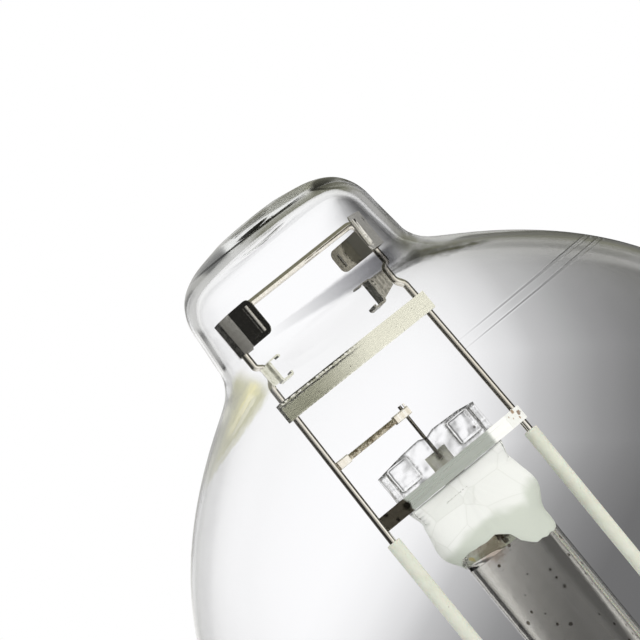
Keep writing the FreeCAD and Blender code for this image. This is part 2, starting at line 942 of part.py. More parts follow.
def braided_lead():
    """Strands twisted about the line from the wire to the lead."""
    _, _, start, end = braid_span()
    offset = braid_strand * 0.62
    strands = []
    for number in range(braid_strands):
        helix = Part.makeHelix(braid_pitch, end - start, offset)
        section = Part.makeCircle(braid_strand / 2, Vector(offset, 0, 0), Vector(0, 1, 0))
        strands.append(turned(swept(helix, section), number * 360 / braid_strands))
    bundle = Part.makeCompound(strands).rotated(Vector(0, 0, 0), Vector(0, 1, 0), 90)
    return along_braid(bundle.translated(Vector(start, 0, 0)))


def along_braid(shape):
    """Set a shape made along +X from a wire at the origin on the braid's line."""
    origin, along, _, _ = braid_span()
    placed = turned(shape, math.degrees(math.atan2(along[1], along[0])))
    return placed.translated(Vector(origin[0], origin[1], braid_height))


def crimp_frame():
    """A flattened barrel on the braid's end, welded to the frame wire."""
    start = frame_radius + slip
    half = crimp_height / 2
    shell = box((start, -half, -half), (start + crimp_length, half, half))
    edges = [edge for edge in shell.Edges if edge.Length > crimp_length * 0.9]
    shell = shell.makeFillet(crimp_sheet, edges)
    strand_zone = start + crimp_length * 0.7 - braid_strand / 2
    bore = Part.makeCylinder(half - crimp_sheet / 2, crimp_length, Vector(strand_zone, 0, 0), Vector(1, 0, 0))
    return along_braid(shell.cut(bore))


def crimp_lead():
    """A folded channel that holds the braid's other end on the lead, with a small ear."""
    origin, _, _, end = braid_span()
    lead_x, lead_y = lead_plan()
    reach = math.hypot(lead_x - origin[0], lead_y)
    half = crimp_height / 2
    start = end - crimp_length * 0.25
    shell = box((start, -half, -half), (reach + lead_wire + crimp_sheet, half, half))
    edges = [edge for edge in shell.Edges if edge.Length > half * 3]
    shell = shell.makeFillet(crimp_sheet, edges)
    strand_zone = end - start + braid_strand / 2
    bore = Part.makeCylinder(half - crimp_sheet / 2, strand_zone, Vector(start, 0, 0), Vector(1, 0, 0))
    hole = Part.makeCylinder(lead_wire / 2 + slip, 2 * crimp_height, Vector(reach, 0, -crimp_height))
    ear = box(
        (reach + lead_wire, -crimp_sheet / 2, half * 0.2),
        (reach + lead_wire + crimp_sheet, crimp_sheet / 2, half * 1.9),
    )
    return along_braid(shell.cut(bore).cut(hole).fuse(ear))


# Stem, exhaust tube and lead-in wires

def stem(cutters):
    """A flared tube pressed flat at the top, closed with the bulb at the flare's rim."""
    rim = seal_radius
    inner = stem_radius - stem_wall
    outside = [
        line(profile_point(rim - seal_wall * 2, flare_height), profile_point(rim, flare_height)),
        line(profile_point(rim, flare_height), profile_point(rim, seal_height)),
        line(profile_point(rim, seal_height), profile_point(rim - seal_wall, seal_height)),
        bezier((
            profile_point(rim - seal_wall, seal_height),
            profile_point(stem_radius + stem_wall, seal_height + stem_wall),
            profile_point(stem_radius, flare_top - (flare_top - seal_height) * 0.5),
            profile_point(stem_radius, flare_top),
        )),
        line(profile_point(stem_radius, flare_top), profile_point(stem_radius, stem_top)),
        line(profile_point(stem_radius, stem_top), profile_point(inner, stem_top)),
        line(profile_point(inner, stem_top), profile_point(inner, flare_top)),
        bezier((
            profile_point(inner, flare_top),
            profile_point(inner, flare_top - (flare_top - seal_height) * 0.5),
            profile_point(stem_radius, seal_height + stem_wall * 0.4),
            profile_point(rim - seal_wall * 2, flare_height),
        )),
    ]
    flare = revolve(outside)
    half_press = press_thickness / 2
    wires = [Part.Wire(Part.makeCircle(stem_radius, Vector(0, 0, stem_top)))]
    for height in (press_top - press_flat, press_top):
        centre = Vector(0, 0, height)
        wide = centre + Vector(press_half_width, 0, 0)
        deep = centre + Vector(0, half_press, 0)
        wires.append(Part.Wire(Part.Ellipse(wide, deep, centre).toShape()))
    press = Part.makeLoft(wires, True, False)
    return flare.fuse(press).cut(cutters).removeSplitter()


def exhaust_tube():
    """The tube that the bulb was pumped through, with its tipped-off end."""
    bore = exhaust_radius - exhaust_wall
    high = stem_top
    tip = exhaust_tip
    round_end = tip + exhaust_radius
    edges = [
        bezier((
            profile_point(0, tip),
            profile_point(exhaust_radius * 0.6, tip),
            profile_point(exhaust_radius, tip + exhaust_radius * 0.3),
            profile_point(exhaust_radius, round_end),
        )),
        line(profile_point(exhaust_radius, round_end), profile_point(exhaust_radius, high)),
        line(profile_point(exhaust_radius, high), profile_point(bore, high)),
        line(profile_point(bore, high), profile_point(bore, round_end + exhaust_wall)),
        bezier((
            profile_point(bore, round_end + exhaust_wall),
            profile_point(bore, tip + exhaust_wall * 2),
            profile_point(bore * 0.6, tip + exhaust_wall * 1.5),
            profile_point(0, tip + exhaust_wall * 1.5),
        )),
        line(profile_point(0, tip + exhaust_wall * 1.5), profile_point(0, tip)),
    ]
    return revolve(edges)


def lead_in_frame():
    """From the shell's wall up through the press, then out to the frame's leg."""
    x = -lead_in_half
    wall = -(shell_minor_radius - shell_sheet) + lead_in_outer / 2
    weld = flare_height - 2 * lead_in_outer - weld_drop
    outer = bent_wire(
        ((wall, 0, weld - weld_tail), (wall, 0, weld), (x, 0, weld), (x, 0, stem_top)),
        lead_in_outer, lead_in_outer * 1.5,
    )
    side = frame_half_stem - frame_radius - lead_in_wire / 2 - slip
    inner = bent_wire(
        (
            (x, 0, stem_top), (x, 0, press_top + lead_in_step),
            (-side, 0, press_top + lead_in_step + lead_in_jog), (-side, 0, lead_in_frame_top),
        ),
        lead_in_wire, lead_in_wire * 1.6,
    )
    return outer.fuse(inner)


def lead_in_arc():
    """From the centre contact up through the press, then across to the arc tube's lower lead."""
    x = lead_in_half
    lead_x, lead_y = lead_plan()
    beside = lead_x + (lead_wire + lead_in_wire) / 2 + slip
    lead_end = light_centre - lead_high
    outer = bent_wire(
        (
            (0, 0, contact_thickness), (0, 0, insulator_low + contact_wire_rise),
            (x, 0, flare_height - lead_in_bend_drop), (x, 0, stem_top),
        ),
        lead_in_outer, lead_in_outer * 2,
    )
    inner = bent_wire(
        (
            (x, 0, stem_top), (x, 0, lead_in_knee),
            (beside, lead_y, lead_end - lead_in_straight), (beside, lead_y, lead_end + lead_in_lap),
        ),
        lead_in_wire, lead_in_wire * 1.6,
    )
    return outer.fuse(inner)


def stem_strap(side):
    """Half of the strap round the stem tube, with an ear out to each leg of the frame."""
    inner = stem_radius + slip
    outer = inner + stem_strap_sheet
    ring = tube(outer, inner, stem_strap_low, stem_strap_low + stem_strap_height)
    half_space = box((-2 * outer, 0.0, 0.0), (2 * outer, 2 * outer, stem_top))
    ear_end = frame_half_stem - frame_radius - slip
    ear_start = (inner + outer) / 2
    high = stem_strap_low + stem_strap_height
    ears = [
        box((ear_start, 0.0, stem_strap_low), (ear_end, stem_strap_sheet, high)),
        box((-ear_end, 0.0, stem_strap_low), (-ear_start, stem_strap_sheet, high)),
    ]
    strap = ring.common(half_space).fuse(ears).removeSplitter()
    if side < 0:
        strap = strap.mirror(Vector(0, 0, 0), Vector(0, 1, 0))
    return strap


# Screw base

def thread_ridge():
    """The rolled thread: a round ridge on a helix, fading out at both ends."""
    height = thread_high - thread_low
    helix = Part.makeHelix(thread_pitch, height, shell_minor_radius)
    depth = shell_major_radius - shell_minor_radius
    half = thread_pitch * 0.46
    root = shell_minor_radius - shell_sheet / 2
    section = Part.Wire([
        bezier((
            profile_point(root, -half),
            profile_point(root + depth * 0.5, -half * 0.75),
            profile_point(shell_major_radius + depth * 0.17, -half * 0.55),
            profile_point(shell_major_radius + depth * 0.17, half * 0.55),
            profile_point(root + depth * 0.5, half * 0.75),
            profile_point(root, half),
        )),
        line(profile_point(root, half), profile_point(root, -half)),
    ])
    ridge = swept(helix, section).translated(Vector(0, 0, thread_low))
    low = thread_low - half / 2
    high = thread_high + half / 2
    envelope = revolve_corners((
        (0.0, low), (shell_minor_radius - slip, low), (shell_major_radius, low + thread_runout),
        (shell_major_radius, high - thread_runout), (shell_minor_radius - slip, high), (0.0, high),
    ))
    return ridge.common(envelope)


def screw_shell():
    """A rolled sheet shell: turned-in foot, coarse thread and a plain skirt."""
    sheet = shell_sheet
    minor = shell_minor_radius
    slope_low = skirt_low - skirt_slope
    flare_low = skirt_high - skirt_flare_length
    outline = (
        (shell_foot_radius, shell_foot), (minor - shell_corner, shell_foot),
        (minor, shell_foot + shell_corner), (minor, slope_low), (skirt_radius, skirt_low), (skirt_radius, flare_low),
        (skirt_radius + skirt_flare, skirt_high),
        (skirt_radius + skirt_flare - sheet, skirt_high), (skirt_radius - sheet, flare_low),
        (skirt_radius - sheet, skirt_low + sheet * 0.6), (minor - sheet, slope_low + sheet * 1.2),
        (minor - sheet, shell_foot + shell_corner + sheet * 0.6),
        (minor - shell_corner - sheet * 0.6, shell_foot + sheet), (shell_foot_radius, shell_foot + sheet),
    )
    return revolve_corners(outline).fuse(thread_ridge())


def base_insulator():
    """The dark glass button that carries the centre contact."""
    top = shell_foot + shell_sheet
    low = insulator_low
    plug = shell_minor_radius - shell_sheet - insulator_clear
    boss = lead_hole + insulator_boss
    outline = (
        (lead_hole, contact_thickness + slip), (contact_radius - contact_rim, contact_thickness + slip),
        (contact_radius - contact_rim, low), (insulator_low_radius, low),
        (shell_foot_radius, shell_foot - shell_corner), (shell_foot_radius, top),
        (plug, top), (plug, top + insulator_plug), (boss, top + insulator_plug),
        (lead_hole, low + insulator_throat),
    )
    return revolve_corners(outline)


def centre_contact():
    """A brass disc with a turned-up rim and a hole for the solder."""
    rim = contact_radius
    inner = rim - contact_rim
    outline = (
        (contact_hole, 0.0), (rim - contact_corner, 0.0), (rim, contact_corner), (rim, insulator_low),
        (inner, insulator_low), (inner, contact_thickness), (contact_hole, contact_thickness),
    )
    return revolve_corners(outline)


def contact_solder():
    return Part.makeCylinder(contact_hole, contact_thickness)


def base_cement():
    high = skirt_high - skirt_flare_length - cement_sink
    return tube(skirt_radius - shell_sheet, seal_radius, cement_low, high)


def build():
    os.makedirs("parts", exist_ok=True)
    electrode_shape = electrode()
    foil_shape = foil()
    lead_shape = lead()
    sealed = [electrode_shape, foil_shape, lead_shape]
    sealed = sealed + [at_base_end(shape) for shape in sealed]
    coil_shape = coil()
    coat_shape = coat()
    tube_shape = arc_tube(sealed)

    save("outer_bulb", outer_bulb())
    save("frame_loop", frame_loop())
    save("crown_spring_left", turned(crown_spring(0.0), 180))
    save("crown_spring_right", crown_spring(spring_step))
    save("cross_strap", cross_strap())
    save("getter_left", getter_left())
    save("getter_right", getter_right())
    save("getter_strip_left", getter_strip_left())
    save("getter_strip_right", getter_strip_right())
    save("sleeve_left", sleeve(-1))
    save("sleeve_right", sleeve(1))

    save("arc_tube", turned(tube_shape, arc_tube_turn))
    pieces = (
        ("electrode", electrode_shape), ("coil", coil_shape), ("foil", foil_shape), ("lead", lead_shape),
        ("coat", coat_shape),
    )
    for name, shape in pieces:
        save(name + "_dome", turned(shape, arc_tube_turn))
        save(name + "_base", turned(at_base_end(shape), arc_tube_turn))
    for name, centre in zip(("dome", "base"), clamp_centres):
        save("clamp_" + name + "_front", turned(clamp_front(centre), arc_tube_turn))
        save("clamp_" + name + "_back", turned(clamp_back(centre), arc_tube_turn))

    save("braided_lead", braided_lead())
    save("braid_crimp_frame", crimp_frame())
    save("braid_crimp_lead", crimp_lead())

    exhaust = exhaust_tube()
    wires = (lead_in_frame(), lead_in_arc())
    save("stem", stem([exhaust, wires[0], wires[1]]))
    save("exhaust_tube", exhaust)
    save("lead_in_frame", wires[0])
    save("lead_in_arc", wires[1])
    save("stem_strap_front", stem_strap(-1))
    save("stem_strap_back", stem_strap(1))

    save("screw_shell", screw_shell())
    save("base_insulator", base_insulator())
    save("centre_contact", centre_contact())
    save("contact_solder", contact_solder())
    save("base_cement", base_cement())


build()
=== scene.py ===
"""Finish and studio for a clear metal halide lamp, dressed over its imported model.

The lamp stands on its centre contact at the origin, with +Z up to the crown. Sizes are in millimetres
in the classes below and in metres in the scene.
"""

import functools
import logging
import math
from dataclasses import dataclass
from enum import Enum
from typing import Sequence

import bpy
import numpy as np
from mathutils import Matrix, Vector, noise
from mathutils.bvhtree import BVHTree


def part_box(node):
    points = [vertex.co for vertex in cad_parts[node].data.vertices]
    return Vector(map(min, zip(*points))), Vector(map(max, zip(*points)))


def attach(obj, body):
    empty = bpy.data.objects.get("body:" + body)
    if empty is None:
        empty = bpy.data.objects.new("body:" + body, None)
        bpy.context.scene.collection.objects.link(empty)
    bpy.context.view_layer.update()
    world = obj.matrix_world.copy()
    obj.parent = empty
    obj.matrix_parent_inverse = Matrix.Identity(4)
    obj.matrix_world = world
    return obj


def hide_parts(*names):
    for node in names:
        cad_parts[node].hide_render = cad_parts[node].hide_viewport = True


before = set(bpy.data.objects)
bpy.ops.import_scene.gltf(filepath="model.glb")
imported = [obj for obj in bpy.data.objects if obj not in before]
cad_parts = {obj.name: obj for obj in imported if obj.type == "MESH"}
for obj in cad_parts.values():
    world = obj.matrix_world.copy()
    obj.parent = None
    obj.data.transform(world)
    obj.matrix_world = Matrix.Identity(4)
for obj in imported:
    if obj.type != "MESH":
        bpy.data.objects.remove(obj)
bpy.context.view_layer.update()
MM = 0.001
LOG = logging.getLogger("lamp")

Colour = tuple[float, float, float]
Point = tuple[float, float, float]
FlatPoint = tuple[float, float]

PURE_WHITE: Colour = (1.0, 1.0, 1.0)
LIGHT_BOUNCES = 24


class Mask(Enum):
    """The shared effects, each a node group that gives one mask or value over the surface."""

    GRAIN = "drawn_grain"
    SPECKS = "fine_specks"
    WEAR = "edge_wear"
    STAIN = "round_stain"


class Side(Enum):
    """Which side of the lamp a piece is on, seen with the getters' side in front."""

    LEFT = -1
    RIGHT = 1


class Graph:
    """A node tree that is being filled, with short calls for what the finishes share."""

    def __init__(self, tree: bpy.types.NodeTree) -> None:
        """Keep the tree and empty it.

        Args:
            tree: the material's, world's or group's node tree.
        """
        self.tree = tree
        tree.nodes.clear()

    @classmethod
    def of_material(cls, name: str) -> tuple[bpy.types.Material, "Graph"]:
        """Return a new material and the graph of its nodes.

        Args:
            name: its name.

        Returns:
            A new material and the graph of its nodes.
        """
        material = bpy.data.materials.new(name)
        material.use_nodes = True
        return material, cls(material.node_tree)

    def feed(self, socket: bpy.types.NodeSocket, value: object) -> None:
        """Link or set one input.

        Args:
            socket: the input.
            value: an output socket to link, or a constant to set. A colour may leave out its alpha.
        """
        if isinstance(value, bpy.types.NodeSocket):
            self.tree.links.new(value, socket)
        elif socket.type == "RGBA" and len(value) == 3:
            socket.default_value = (*value, 1.0)
        else:
            socket.default_value = value

    def add(self, kind: str, inputs: dict | None = None, **settings: object) -> bpy.types.Node:
        """Add a node.

        Args:
            kind: the node's type without its ShaderNode prefix.
            inputs: sockets or constants by input name or number.
            settings: the node's own properties.

        Returns:
            The node.
        """
        node = self.tree.nodes.new("ShaderNode" + kind)
        for name, value in settings.items():
            setattr(node, name, value)
        for name, value in (inputs or {}).items():
            self.feed(node.inputs[name], value)
        return node

    def math(self, operation: str, *values: object) -> bpy.types.NodeSocket:
        """Return the result of a Math node on one to three values."""
        return self.add("Math", dict(enumerate(values)), operation=operation).outputs[0]

    def times(self, *values: object) -> bpy.types.NodeSocket:
        """Return the product of two or more values."""
        return functools.reduce(lambda first, second: self.math("MULTIPLY", first, second), values)

    def plus(self, first: object, second: object) -> bpy.types.NodeSocket:
        """Return the sum of two values."""
        return self.math("ADD", first, second)

    def minus(self, first: object, second: object) -> bpy.types.NodeSocket:
        """Return the first value less the second."""
        return self.math("SUBTRACT", first, second)

    def vector(self, operation: str, *values: object) -> bpy.types.Node:
        """Return a VectorMath node on one or two vectors."""
        return self.add("VectorMath", dict(enumerate(values)), operation=operation)

    def dot(self, first: object, second: object) -> bpy.types.NodeSocket:
        """Return the dot product of two vectors."""
        return self.vector("DOT_PRODUCT", first, second).outputs["Value"]

    def axis(self, name: str, place: object) -> bpy.types.NodeSocket:
        """Return one coordinate of a place."""
        return self.add("SeparateXYZ", {0: place}).outputs[name]

    def remap(
        self, value: object, low: float, high: object, to_low: float = 0.0, to_high: float = 1.0,
    ) -> bpy.types.NodeSocket:
        """Return a value taken smoothly from one range to another and clamped there."""
        inputs = {0: value, 1: low, 2: high, 3: to_low, 4: to_high}
        return self.add("MapRange", inputs, interpolation_type="SMOOTHSTEP").outputs[0]

    def mix(self, factor: object, first: object, second: object, blend: str = "MIX") -> bpy.types.NodeSocket:
        """Return a mix of two colours.

        Args:
            factor: the second colour's share.
            first: the first colour.
            second: the second colour.
            blend: how they are mixed.

        Returns:
            A mix of two colours.
        """
        node = self.add("Mix", data_type="RGBA", blend_type=blend)
        for index, value in ((0, factor), (6, first), (7, second)):
            self.feed(node.inputs[index], value)
        return node.outputs[2]

    def position(self) -> bpy.types.NodeSocket:
        """Return the point's place in the lamp's frame, in metres."""
        return self.add("TexCoord").outputs["Object"]

    def noise(self, position: object, scale: float, detail: float = 2.0) -> bpy.types.NodeSocket:
        """Return noise between 0 and 1 at a number of cells in each metre."""
        return self.add("TexNoise", {"Vector": position, "Scale": scale, "Detail": detail}).outputs["Fac"]

    def sway(self, position: object, scale: float, detail: float) -> bpy.types.NodeSocket:
        """Return noise about zero, from -0.5 to 0.5."""
        return self.minus(self.noise(position, scale, detail), 0.5)

    def bump(self, strength: float, distance: float, height: object, **more: object) -> bpy.types.NodeSocket:
        """Return the surface's normal bent by a height, on top of a given Normal if there is one."""
        inputs = {"Strength": strength, "Distance": distance, "Height": height, **more}
        return self.add("Bump", inputs).outputs[0]

    def ramp(self, share: object, stops: Sequence[tuple[float, Colour]]) -> bpy.types.NodeSocket:
        """Return the colour at a place on a ramp.

        Args:
            share: the place, from 0 to 1.
            stops: each stop's place and colour.

        Returns:
            The colour.
        """
        node = self.add("ValToRGB", {0: share})
        elements = node.color_ramp.elements
        elements.remove(elements[1])
        for number, (place, colour) in enumerate(stops):
            stop = elements[0] if number == 0 else elements.new(place)
            stop.position = place
            stop.color = (*colour, 1.0)
        return node.outputs[0]

    def blend(self, share: object, first: bpy.types.Node, second: bpy.types.Node) -> bpy.types.Node:
        """Return a node that mixes the shaders of two nodes."""
        return self.add("MixShader", {0: share, 1: first.outputs[0], 2: second.outputs[0]})

    def effect(self, mask: Mask, **inputs: object) -> bpy.types.NodeSocket:
        """Return the output of a shared effect placed with its own values.

        Args:
            mask: the effect.
            inputs: its values by name.

        Returns:
            The output of a shared effect placed with its own values.
        """
        node = self.add("Group")
        node.node_tree = effects.tree(mask)
        for name, value in inputs.items():
            self.feed(node.inputs[name.capitalize()], value)
        return node.outputs[0]

    def surface(self, shader: bpy.types.NodeSocket, volume: object = None) -> None:
        """End a material with its surface shader and, where it has one, its volume."""
        output = self.add("OutputMaterial", {"Surface": shader})
        if volume is not None:
            self.feed(output.inputs["Volume"], volume)


class EffectLibrary:
    """The node groups that more than one material uses, each built once."""

    def __init__(self) -> None:
        """Start with none built."""
        self.trees: dict[Mask, bpy.types.NodeTree] = {}

    def tree(self, mask: Mask) -> bpy.types.NodeTree:
        """Return an effect's group, building it the first time."""
        if mask not in self.trees:
            makers = {
                Mask.GRAIN: self.grain, Mask.SPECKS: self.specks, Mask.WEAR: self.wear, Mask.STAIN: self.stain,
            }
            self.trees[mask] = makers[mask](mask.value)
        return self.trees[mask]

    def start(self, name: str, sockets: Sequence[tuple[str, str, float]], output: str) -> tuple:
        """Open a group.

        Args:
            name: the group's name.
            sockets: each input's name, kind and default.
            output: the output's name.

        Returns:
            The group's graph and the sockets that bring its inputs.
        """
        tree = bpy.data.node_groups.new(name, "ShaderNodeTree")
        graph = Graph(tree)
        for title, kind, default in sockets:
            socket = tree.interface.new_socket(title, in_out="INPUT", socket_type="NodeSocket" + kind)
            if kind == "Float":
                socket.default_value = default
        tree.interface.new_socket(output, in_out="OUTPUT", socket_type="NodeSocketFloat")
        return graph, tree.nodes.new("NodeGroupInput").outputs

    def close(self, graph: Graph, value: bpy.types.NodeSocket) -> bpy.types.NodeTree:
        """Lead a value to the group's output and return the tree.

        Args:
            graph: the graph of the material's or group's nodes.
            value: the value.

        Returns:
            The group's tree.
        """
        output = graph.tree.nodes.new("NodeGroupOutput")
        graph.feed(output.inputs[0], value)
        return graph.tree

    def grain(self, name: str) -> bpy.types.NodeTree:
        """Streaks of a drawn or rolled metal: noise stretched along a direction.

        Args:
            name: its name.

        Returns:
            The group's tree.
        """
        sockets = (("Position", "Vector", 0.0), ("Stretch", "Vector", 0.0), ("Detail", "Float", 2.0))
        graph, given = self.start(name, sockets, "Value")
        scaled = graph.vector("MULTIPLY", given["Position"], given["Stretch"])
        painted_streaks = graph.add("TexNoise", {"Vector": scaled.outputs[0], "Scale": 1.0, "Detail": given["Detail"]})
        return self.close(graph, graph.remap(painted_streaks.outputs["Fac"], 0.25, 0.75))

    def specks(self, name: str) -> bpy.types.NodeTree:
        """Small round specks scattered at random, of uneven size.

        Args:
            name: its name.

        Returns:
            The group's tree.
        """
        sockets = (("Position", "Vector", 0.0), ("Scale", "Float", 400.0), ("Amount", "Float", 0.1))
        graph, given = self.start(name, sockets, "Mask")
        cells = graph.add("TexVoronoi", {"Vector": given["Position"], "Scale": given["Scale"]})
        tone = graph.add("SeparateColor", {0: cells.outputs["Color"]}).outputs[0]
        reach = graph.times(graph.math("POWER", tone, 3.0), given["Amount"])
        inside = graph.minus(reach, cells.outputs["Distance"])
        return self.close(graph, graph.remap(inside, 0.0, 0.05))

    def wear(self, name: str) -> bpy.types.NodeTree:
        """A mask of edges, broken up by noise: rubbed bright edges on metal, and painted shade along the
        quartz's pressed corners.

        Args:
            name: its name.

        Returns:
            The group's tree.
        """
        sockets = (("Position", "Vector", 0.0), ("Radius", "Float", 0.0002), ("Amount", "Float", 1.0))
        graph, given = self.start(name, sockets, "Mask")
        rounded = graph.add("Bevel", {"Radius": given["Radius"]}, samples=4).outputs[0]
        flat = graph.add("NewGeometry").outputs["Normal"]
        agree = graph.dot(rounded, flat)
        edge = graph.remap(graph.minus(1.0, agree), 0.01, 0.15)
        broken = graph.remap(graph.noise(given["Position"], 1400.0), 0.35, 0.6)
        return self.close(graph, graph.times(edge, broken, given["Amount"]))

    def stain(self, name: str) -> bpy.types.NodeTree:
        """A round patch with an uneven outline: a stained spot, heat mark, painted highlight or painted shade.

        Args:
            name: its name.

        Returns:
            The group's tree.
        """
        sockets = (
            ("Position", "Vector", 0.0), ("Centre", "Vector", 0.0), ("Radius", "Float", 0.002),
            ("Ragged", "Float", 0.3), ("Soft", "Float", 0.45),
        )
        graph, given = self.start(name, sockets, "Mask")
        away = graph.vector("DISTANCE", given["Position"], given["Centre"])
        share = graph.math("DIVIDE", away.outputs["Value"], given["Radius"])
        rough = graph.sway(given["Position"], 900.0, 4.0)
        moved = graph.plus(share, graph.times(rough, graph.times(given["Ragged"], 4.0)))
        return self.close(graph, graph.remap(moved, 1.0, graph.minus(1.0, given["Soft"])))


effects = EffectLibrary()


@dataclass(frozen=True)
class Patch:
    """One round patch: a heat mark, rust spot or dark place that the thing has, or a painted highlight or
    painted shade.

    Args:
        centre: its middle in the lamp's frame, in millimetres.
        radius: its reach in millimetres.
        colour: its colour.
        strength: how far it covers the metal, from 0 to 1.
        ragged: how uneven its outline is.
        soft: the share of its radius over which it fades out.
        matt: how far it takes the metal's shine away.
    """

    centre: Point
    radius: float
    colour: Colour
    strength: float = 1.0
    ragged: float = 0.3
    soft: float = 0.45
    matt: float = 0.0

    def mask(self, graph: Graph, place: object) -> bpy.types.NodeSocket:
        """Return how far the stain covers each place.

        Args:
            graph: the graph of the material's or group's nodes.
            place: the shaded point in the lamp's frame.

        Returns:
            How far the stain covers each place.
        """
        centre = tuple(value * MM for value in self.centre)
        round_mask = graph.effect(
            Mask.STAIN, position=place, centre=centre, radius=self.radius * MM,
            ragged=self.ragged, soft=self.soft,
        )
        return graph.times(round_mask, self.strength)


@dataclass(frozen=True)
class Lip:
    """A strip's folded upper edge, drawn as dark lines with a light band between, and light ragged patches
    along its lower edge, in millimetres.

    Args:
        top: the height of its upper edge.
        bottom: the height of its lower edge.
        fade_from: how far right of the axis the fold starts to show.
        fade_to: how far right of the axis it shows in full.
        fold: how far under the upper edge its second line lies.
        waver: how far its lines waver.
        ragged_waver: how far the edge of the light ragged patches wavers.
    """

    top: float
    bottom: float
    fade_from: float = 5.0
    fade_to: float = -5.0
    fold: float = 1.25
    waver: float = 1.0
    ragged_waver: float = 2.4


@dataclass(frozen=True)
class MetalFinish:
    """A drawn, rolled or stamped metal with its grain, wear and marks, and on some pieces a painted highlight
    and painted shade.

    Args:
        name: the finish's name.
        colour: the metal's colour.
        shade: its colour between the streaks of its grain.
        roughness: its middle roughness.
        uneven: how much the grain changes that roughness.
        stretch: the grain's cells in each metre along X, Y and Z.
        bump: the strength of the grain's relief.
        wear: how much of the edges is rubbed bright.
        wear_colour: the colour of those edges.
        specks: the amount of dark specks.
        metallic: how metallic it is.
        patches: its heat marks, rust spots and dark places, and on the springs a painted highlight and painted
            shade.
        highlight_span: where a painted highlight starts and ends, in millimetres along X, if there is one.
        highlight_colour: the colour that the painted highlight turns it to.
        highlight_matt: how far the painted highlight takes the metal's shine away.
        lip: its folded edge, if it is a folded strip.
    """

    name: str
    colour: Colour
    shade: Colour
    roughness: float = 0.25
    uneven: float = 0.1
    stretch: Point = (1500.0, 1500.0, 60.0)
    bump: float = 0.15
    wear: float = 0.4
    wear_colour: Colour = (0.86, 0.84, 0.78)
    specks: float = 0.0
    metallic: float = 1.0
    patches: tuple[Patch, ...] = ()
    highlight_span: FlatPoint | None = None
    highlight_colour: Colour = (0.86, 0.84, 0.70)
    highlight_matt: float = 0.0
    lip: Lip | None = None

    def build(self) -> bpy.types.Material:
        """Return the material.

        Returns:
            The material.
        """
        material, graph = Graph.of_material(self.name)
        place = graph.position()
        grain = graph.effect(Mask.GRAIN, position=place, stretch=self.stretch)
        colour = graph.mix(grain, self.shade, self.colour)
        # Painted highlight: lighter and less metallic along X across the highlight span.
        if self.highlight_span is not None:
            across = graph.axis("X", place)
            share = graph.remap(across, self.highlight_span[0] * MM, self.highlight_span[1] * MM)
            bright = graph.mix(0.68, colour, self.highlight_colour)
            colour = graph.mix(share, colour, bright)
        if self.lip is not None:
            colour = self.lipped(graph, place, colour)
        if self.specks:
            dots = graph.effect(Mask.SPECKS, position=place, scale=900.0, amount=self.specks)
            colour = graph.mix(dots, colour, (0.05, 0.04, 0.03))
        if self.wear:
            edges = graph.effect(Mask.WEAR, position=place, amount=self.wear)
            colour = graph.mix(edges, colour, self.wear_colour)
        rough = graph.plus(self.roughness - self.uneven / 2, graph.times(grain, self.uneven))
        metallic = self.metallic
        if self.highlight_span is not None:
            metallic = graph.minus(metallic, graph.times(share, self.highlight_matt))
        # Patches: heat marks, rust spots and dark places, and on the springs a painted highlight and painted
        # shade.
        for stain in self.patches:
            mark = stain.mask(graph, place)
            colour = graph.mix(mark, colour, stain.colour)
            rough = graph.plus(rough, graph.times(mark, 0.25))
            if stain.matt:
                metallic = graph.minus(metallic, graph.times(mark, stain.matt))
        relief = graph.bump(self.bump, 0.00008, grain)
        shader = graph.add("BsdfPrincipled", {
            "Base Color": colour, "Roughness": rough, "Metallic": metallic, "Normal": relief,
        })
        graph.surface(shader.outputs[0])
        return material

    def lipped(self, graph: Graph, place: object, colour: object) -> bpy.types.NodeSocket:
        """Return the colour with a folded lip along the top, drawn as dark uneven lines with a light band
        between, and light ragged patches along the bottom.

        Args:
            graph: the graph of the material's or group's nodes.
            place: the shaded point in the lamp's frame.
            colour: the colour so far.

        Returns:
            The colour with a folded lip along the top, drawn as dark uneven lines with a light band between,
            and light ragged patches along the bottom.
        """
        axes = graph.add("SeparateXYZ", {0: place}).outputs
        lip = self.lip
        rough = graph.sway(place, 1500.0, 4.0)
        along = graph.remap(axes["X"], lip.fade_from * MM, lip.fade_to * MM)
        under = graph.minus(lip.top * MM, axes["Z"])
        under = graph.plus(under, graph.times(rough, lip.waver * MM))
        fold = graph.math("ABSOLUTE", graph.minus(under, lip.fold * MM))
        dark = graph.math("MAXIMUM", graph.remap(under, 0.0006, 0.0003), graph.remap(fold, 0.0003, 0.0001))
        between = graph.times(graph.remap(under, 0.0013, 0.0010), graph.remap(rough, -0.02, 0.06))
        light_band = graph.mix(graph.times(between, along), colour, (0.92, 0.91, 0.84))
        marked = graph.mix(graph.times(dark, along), light_band, (0.02, 0.018, 0.012))
        over = graph.plus(graph.minus(axes["Z"], lip.bottom * MM), graph.times(rough, lip.ragged_waver * MM))
        ragged_light = graph.times(graph.remap(over, 0.0008, 0.0003), graph.remap(rough, 0.0, 0.12))
        return graph.mix(ragged_light, marked, (1.0, 0.99, 0.92))


